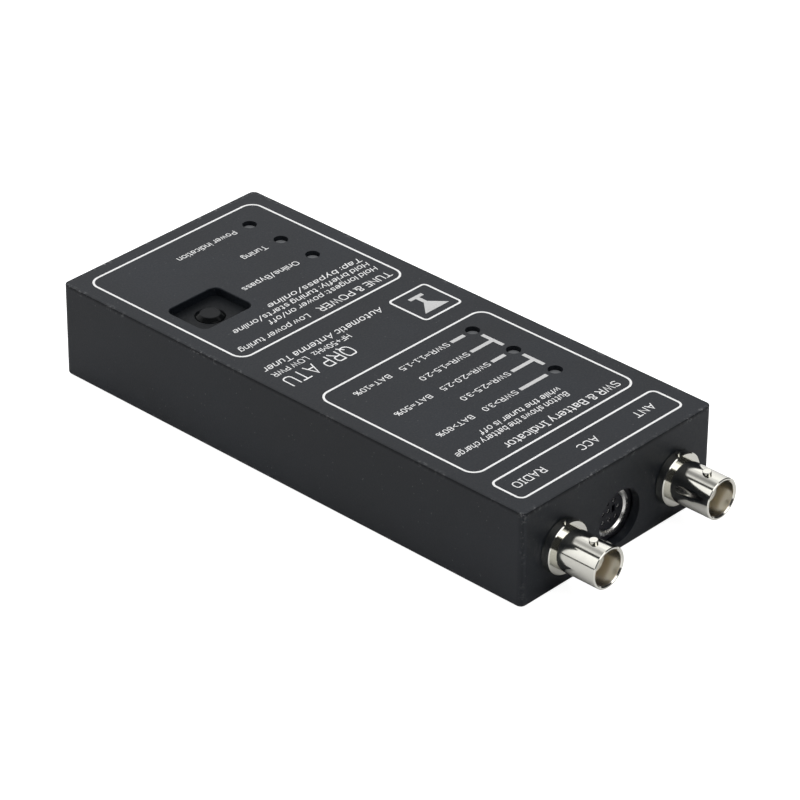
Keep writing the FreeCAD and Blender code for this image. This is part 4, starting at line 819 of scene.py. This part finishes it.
def make_lamp():
    """A large soft light overhead, which glossy surfaces don't show."""
    data = bpy.data.lights.new("overhead", "AREA")
    data.shape = "RECTANGLE"
    data.size = LAMP_SIZE
    data.size_y = LAMP_SIZE
    data.energy = LAMP_WATTS
    lamp = bpy.data.objects.new("overhead", data)
    lamp.location = LAMP_AT
    lamp.rotation_euler = (-Vector(LAMP_AT)).to_track_quat("-Z", "Y").to_euler()
    bpy.context.scene.collection.objects.link(lamp)
    lamp.visible_glossy = False


def make_world():
    """A light tent: bright roof and walls with dark seams, open and dark on the connector side."""
    world = bpy.data.worlds.new("studio")
    w = Nodes(world)
    out = w.add("ShaderNodeOutputWorld")
    back = w.add("ShaderNodeBackground")
    back.inputs["Strength"].default_value = 1.0
    w.put(out.inputs["Surface"], back.outputs[0])
    way = w.add("ShaderNodeTexCoord").outputs["Generated"]
    split = w.add("ShaderNodeSeparateXYZ")
    w.put(split.inputs[0], way)
    x, y, z = split.outputs

    def seam(low, high, soft):
        return w.times(w.span(z, low - soft, low), w.span(z, high, high + soft, 1.0, 0.0))

    roof = w.span(z, ROOF_FROM - 0.01, ROOF_FROM + 0.01, 0.0, ROOF_LIGHT)
    wall = w.span(z, ROOF_FROM - 0.01, ROOF_FROM + 0.01, 1.0, 0.0)
    rise = w.span(z, 0.1, 0.65, WALL_LOW_LIGHT, WALL_HIGH_LIGHT)
    behind = w.span(y, WALL_END - 0.12, WALL_END + 0.12, 1.0, 0.0)
    wall = w.times(wall, w.times(rise, behind))
    right = w.span(x, 0.1, 0.2)
    gap = w.times(w.math("MAXIMUM", seam(*GROUND_SEAM), seam(*ROOF_SEAM)), right)
    joint = w.times(w.span(x, -0.10, -0.08), w.span(x, -0.065, -0.045, 1.0, 0.0))
    lit = w.times(w.math("ADD", roof, wall), w.math("SUBTRACT", 1.0, gap))
    lit = w.times(lit, w.math("SUBTRACT", 1.0, w.times(joint, JOINT_DARKER)))
    lit = w.times(lit, w.span(z, ZENITH, ZENITH + 0.04, 1.0, ZENITH_LEFT))

    aim = w.add("ShaderNodeVectorMath")
    aim.operation = "DOT_PRODUCT"
    w.put(aim.inputs[0], way)
    w.put(aim.inputs[1], Vector(LAMP_TOWARDS).normalized())
    lamp = w.span(aim.outputs["Value"], LAMP_EDGE - 0.012, LAMP_EDGE + 0.006, 0.0, LAMP_LIGHT)
    light = w.math("ADD", w.math("ADD", lit, lamp), DARK_LIGHT)
    tint = w.add("ShaderNodeCombineColor")
    for socket in tint.inputs:
        w.put(socket, light)
    w.put(back.inputs["Color"], tint.outputs[0])
    bpy.context.scene.world = world


def make_camera():
    """Far off with a long lens, above the radio-jack corner."""
    data = bpy.data.cameras.new("camera")
    data.sensor_width = 36.0
    data.lens = CAMERA_LENS
    data.clip_start, data.clip_end = 0.05, 20.0
    flat = math.cos(CAMERA_ELEVATION)
    back = Vector(
        (
            math.sin(CAMERA_AZIMUTH) * flat,
            -math.cos(CAMERA_AZIMUTH) * flat,
            math.sin(CAMERA_ELEVATION),
        )
    )
    level = Vector((0, 0, 1)).cross(back).normalized()
    rise = back.cross(level)
    right = level * math.cos(CAMERA_ROLL) + rise * math.sin(CAMERA_ROLL)
    up = rise * math.cos(CAMERA_ROLL) - level * math.sin(CAMERA_ROLL)
    turn = Matrix((right, up, back)).transposed().to_4x4()
    camera = bpy.data.objects.new("camera", data)
    camera.matrix_world = Matrix.Translation(CAMERA_AT) @ turn
    bpy.context.scene.collection.objects.link(camera)
    bpy.context.scene.camera = camera


make_floors()
make_world()
make_lamp()
make_camera()
bpy.context.scene.view_settings.view_transform = "Standard"
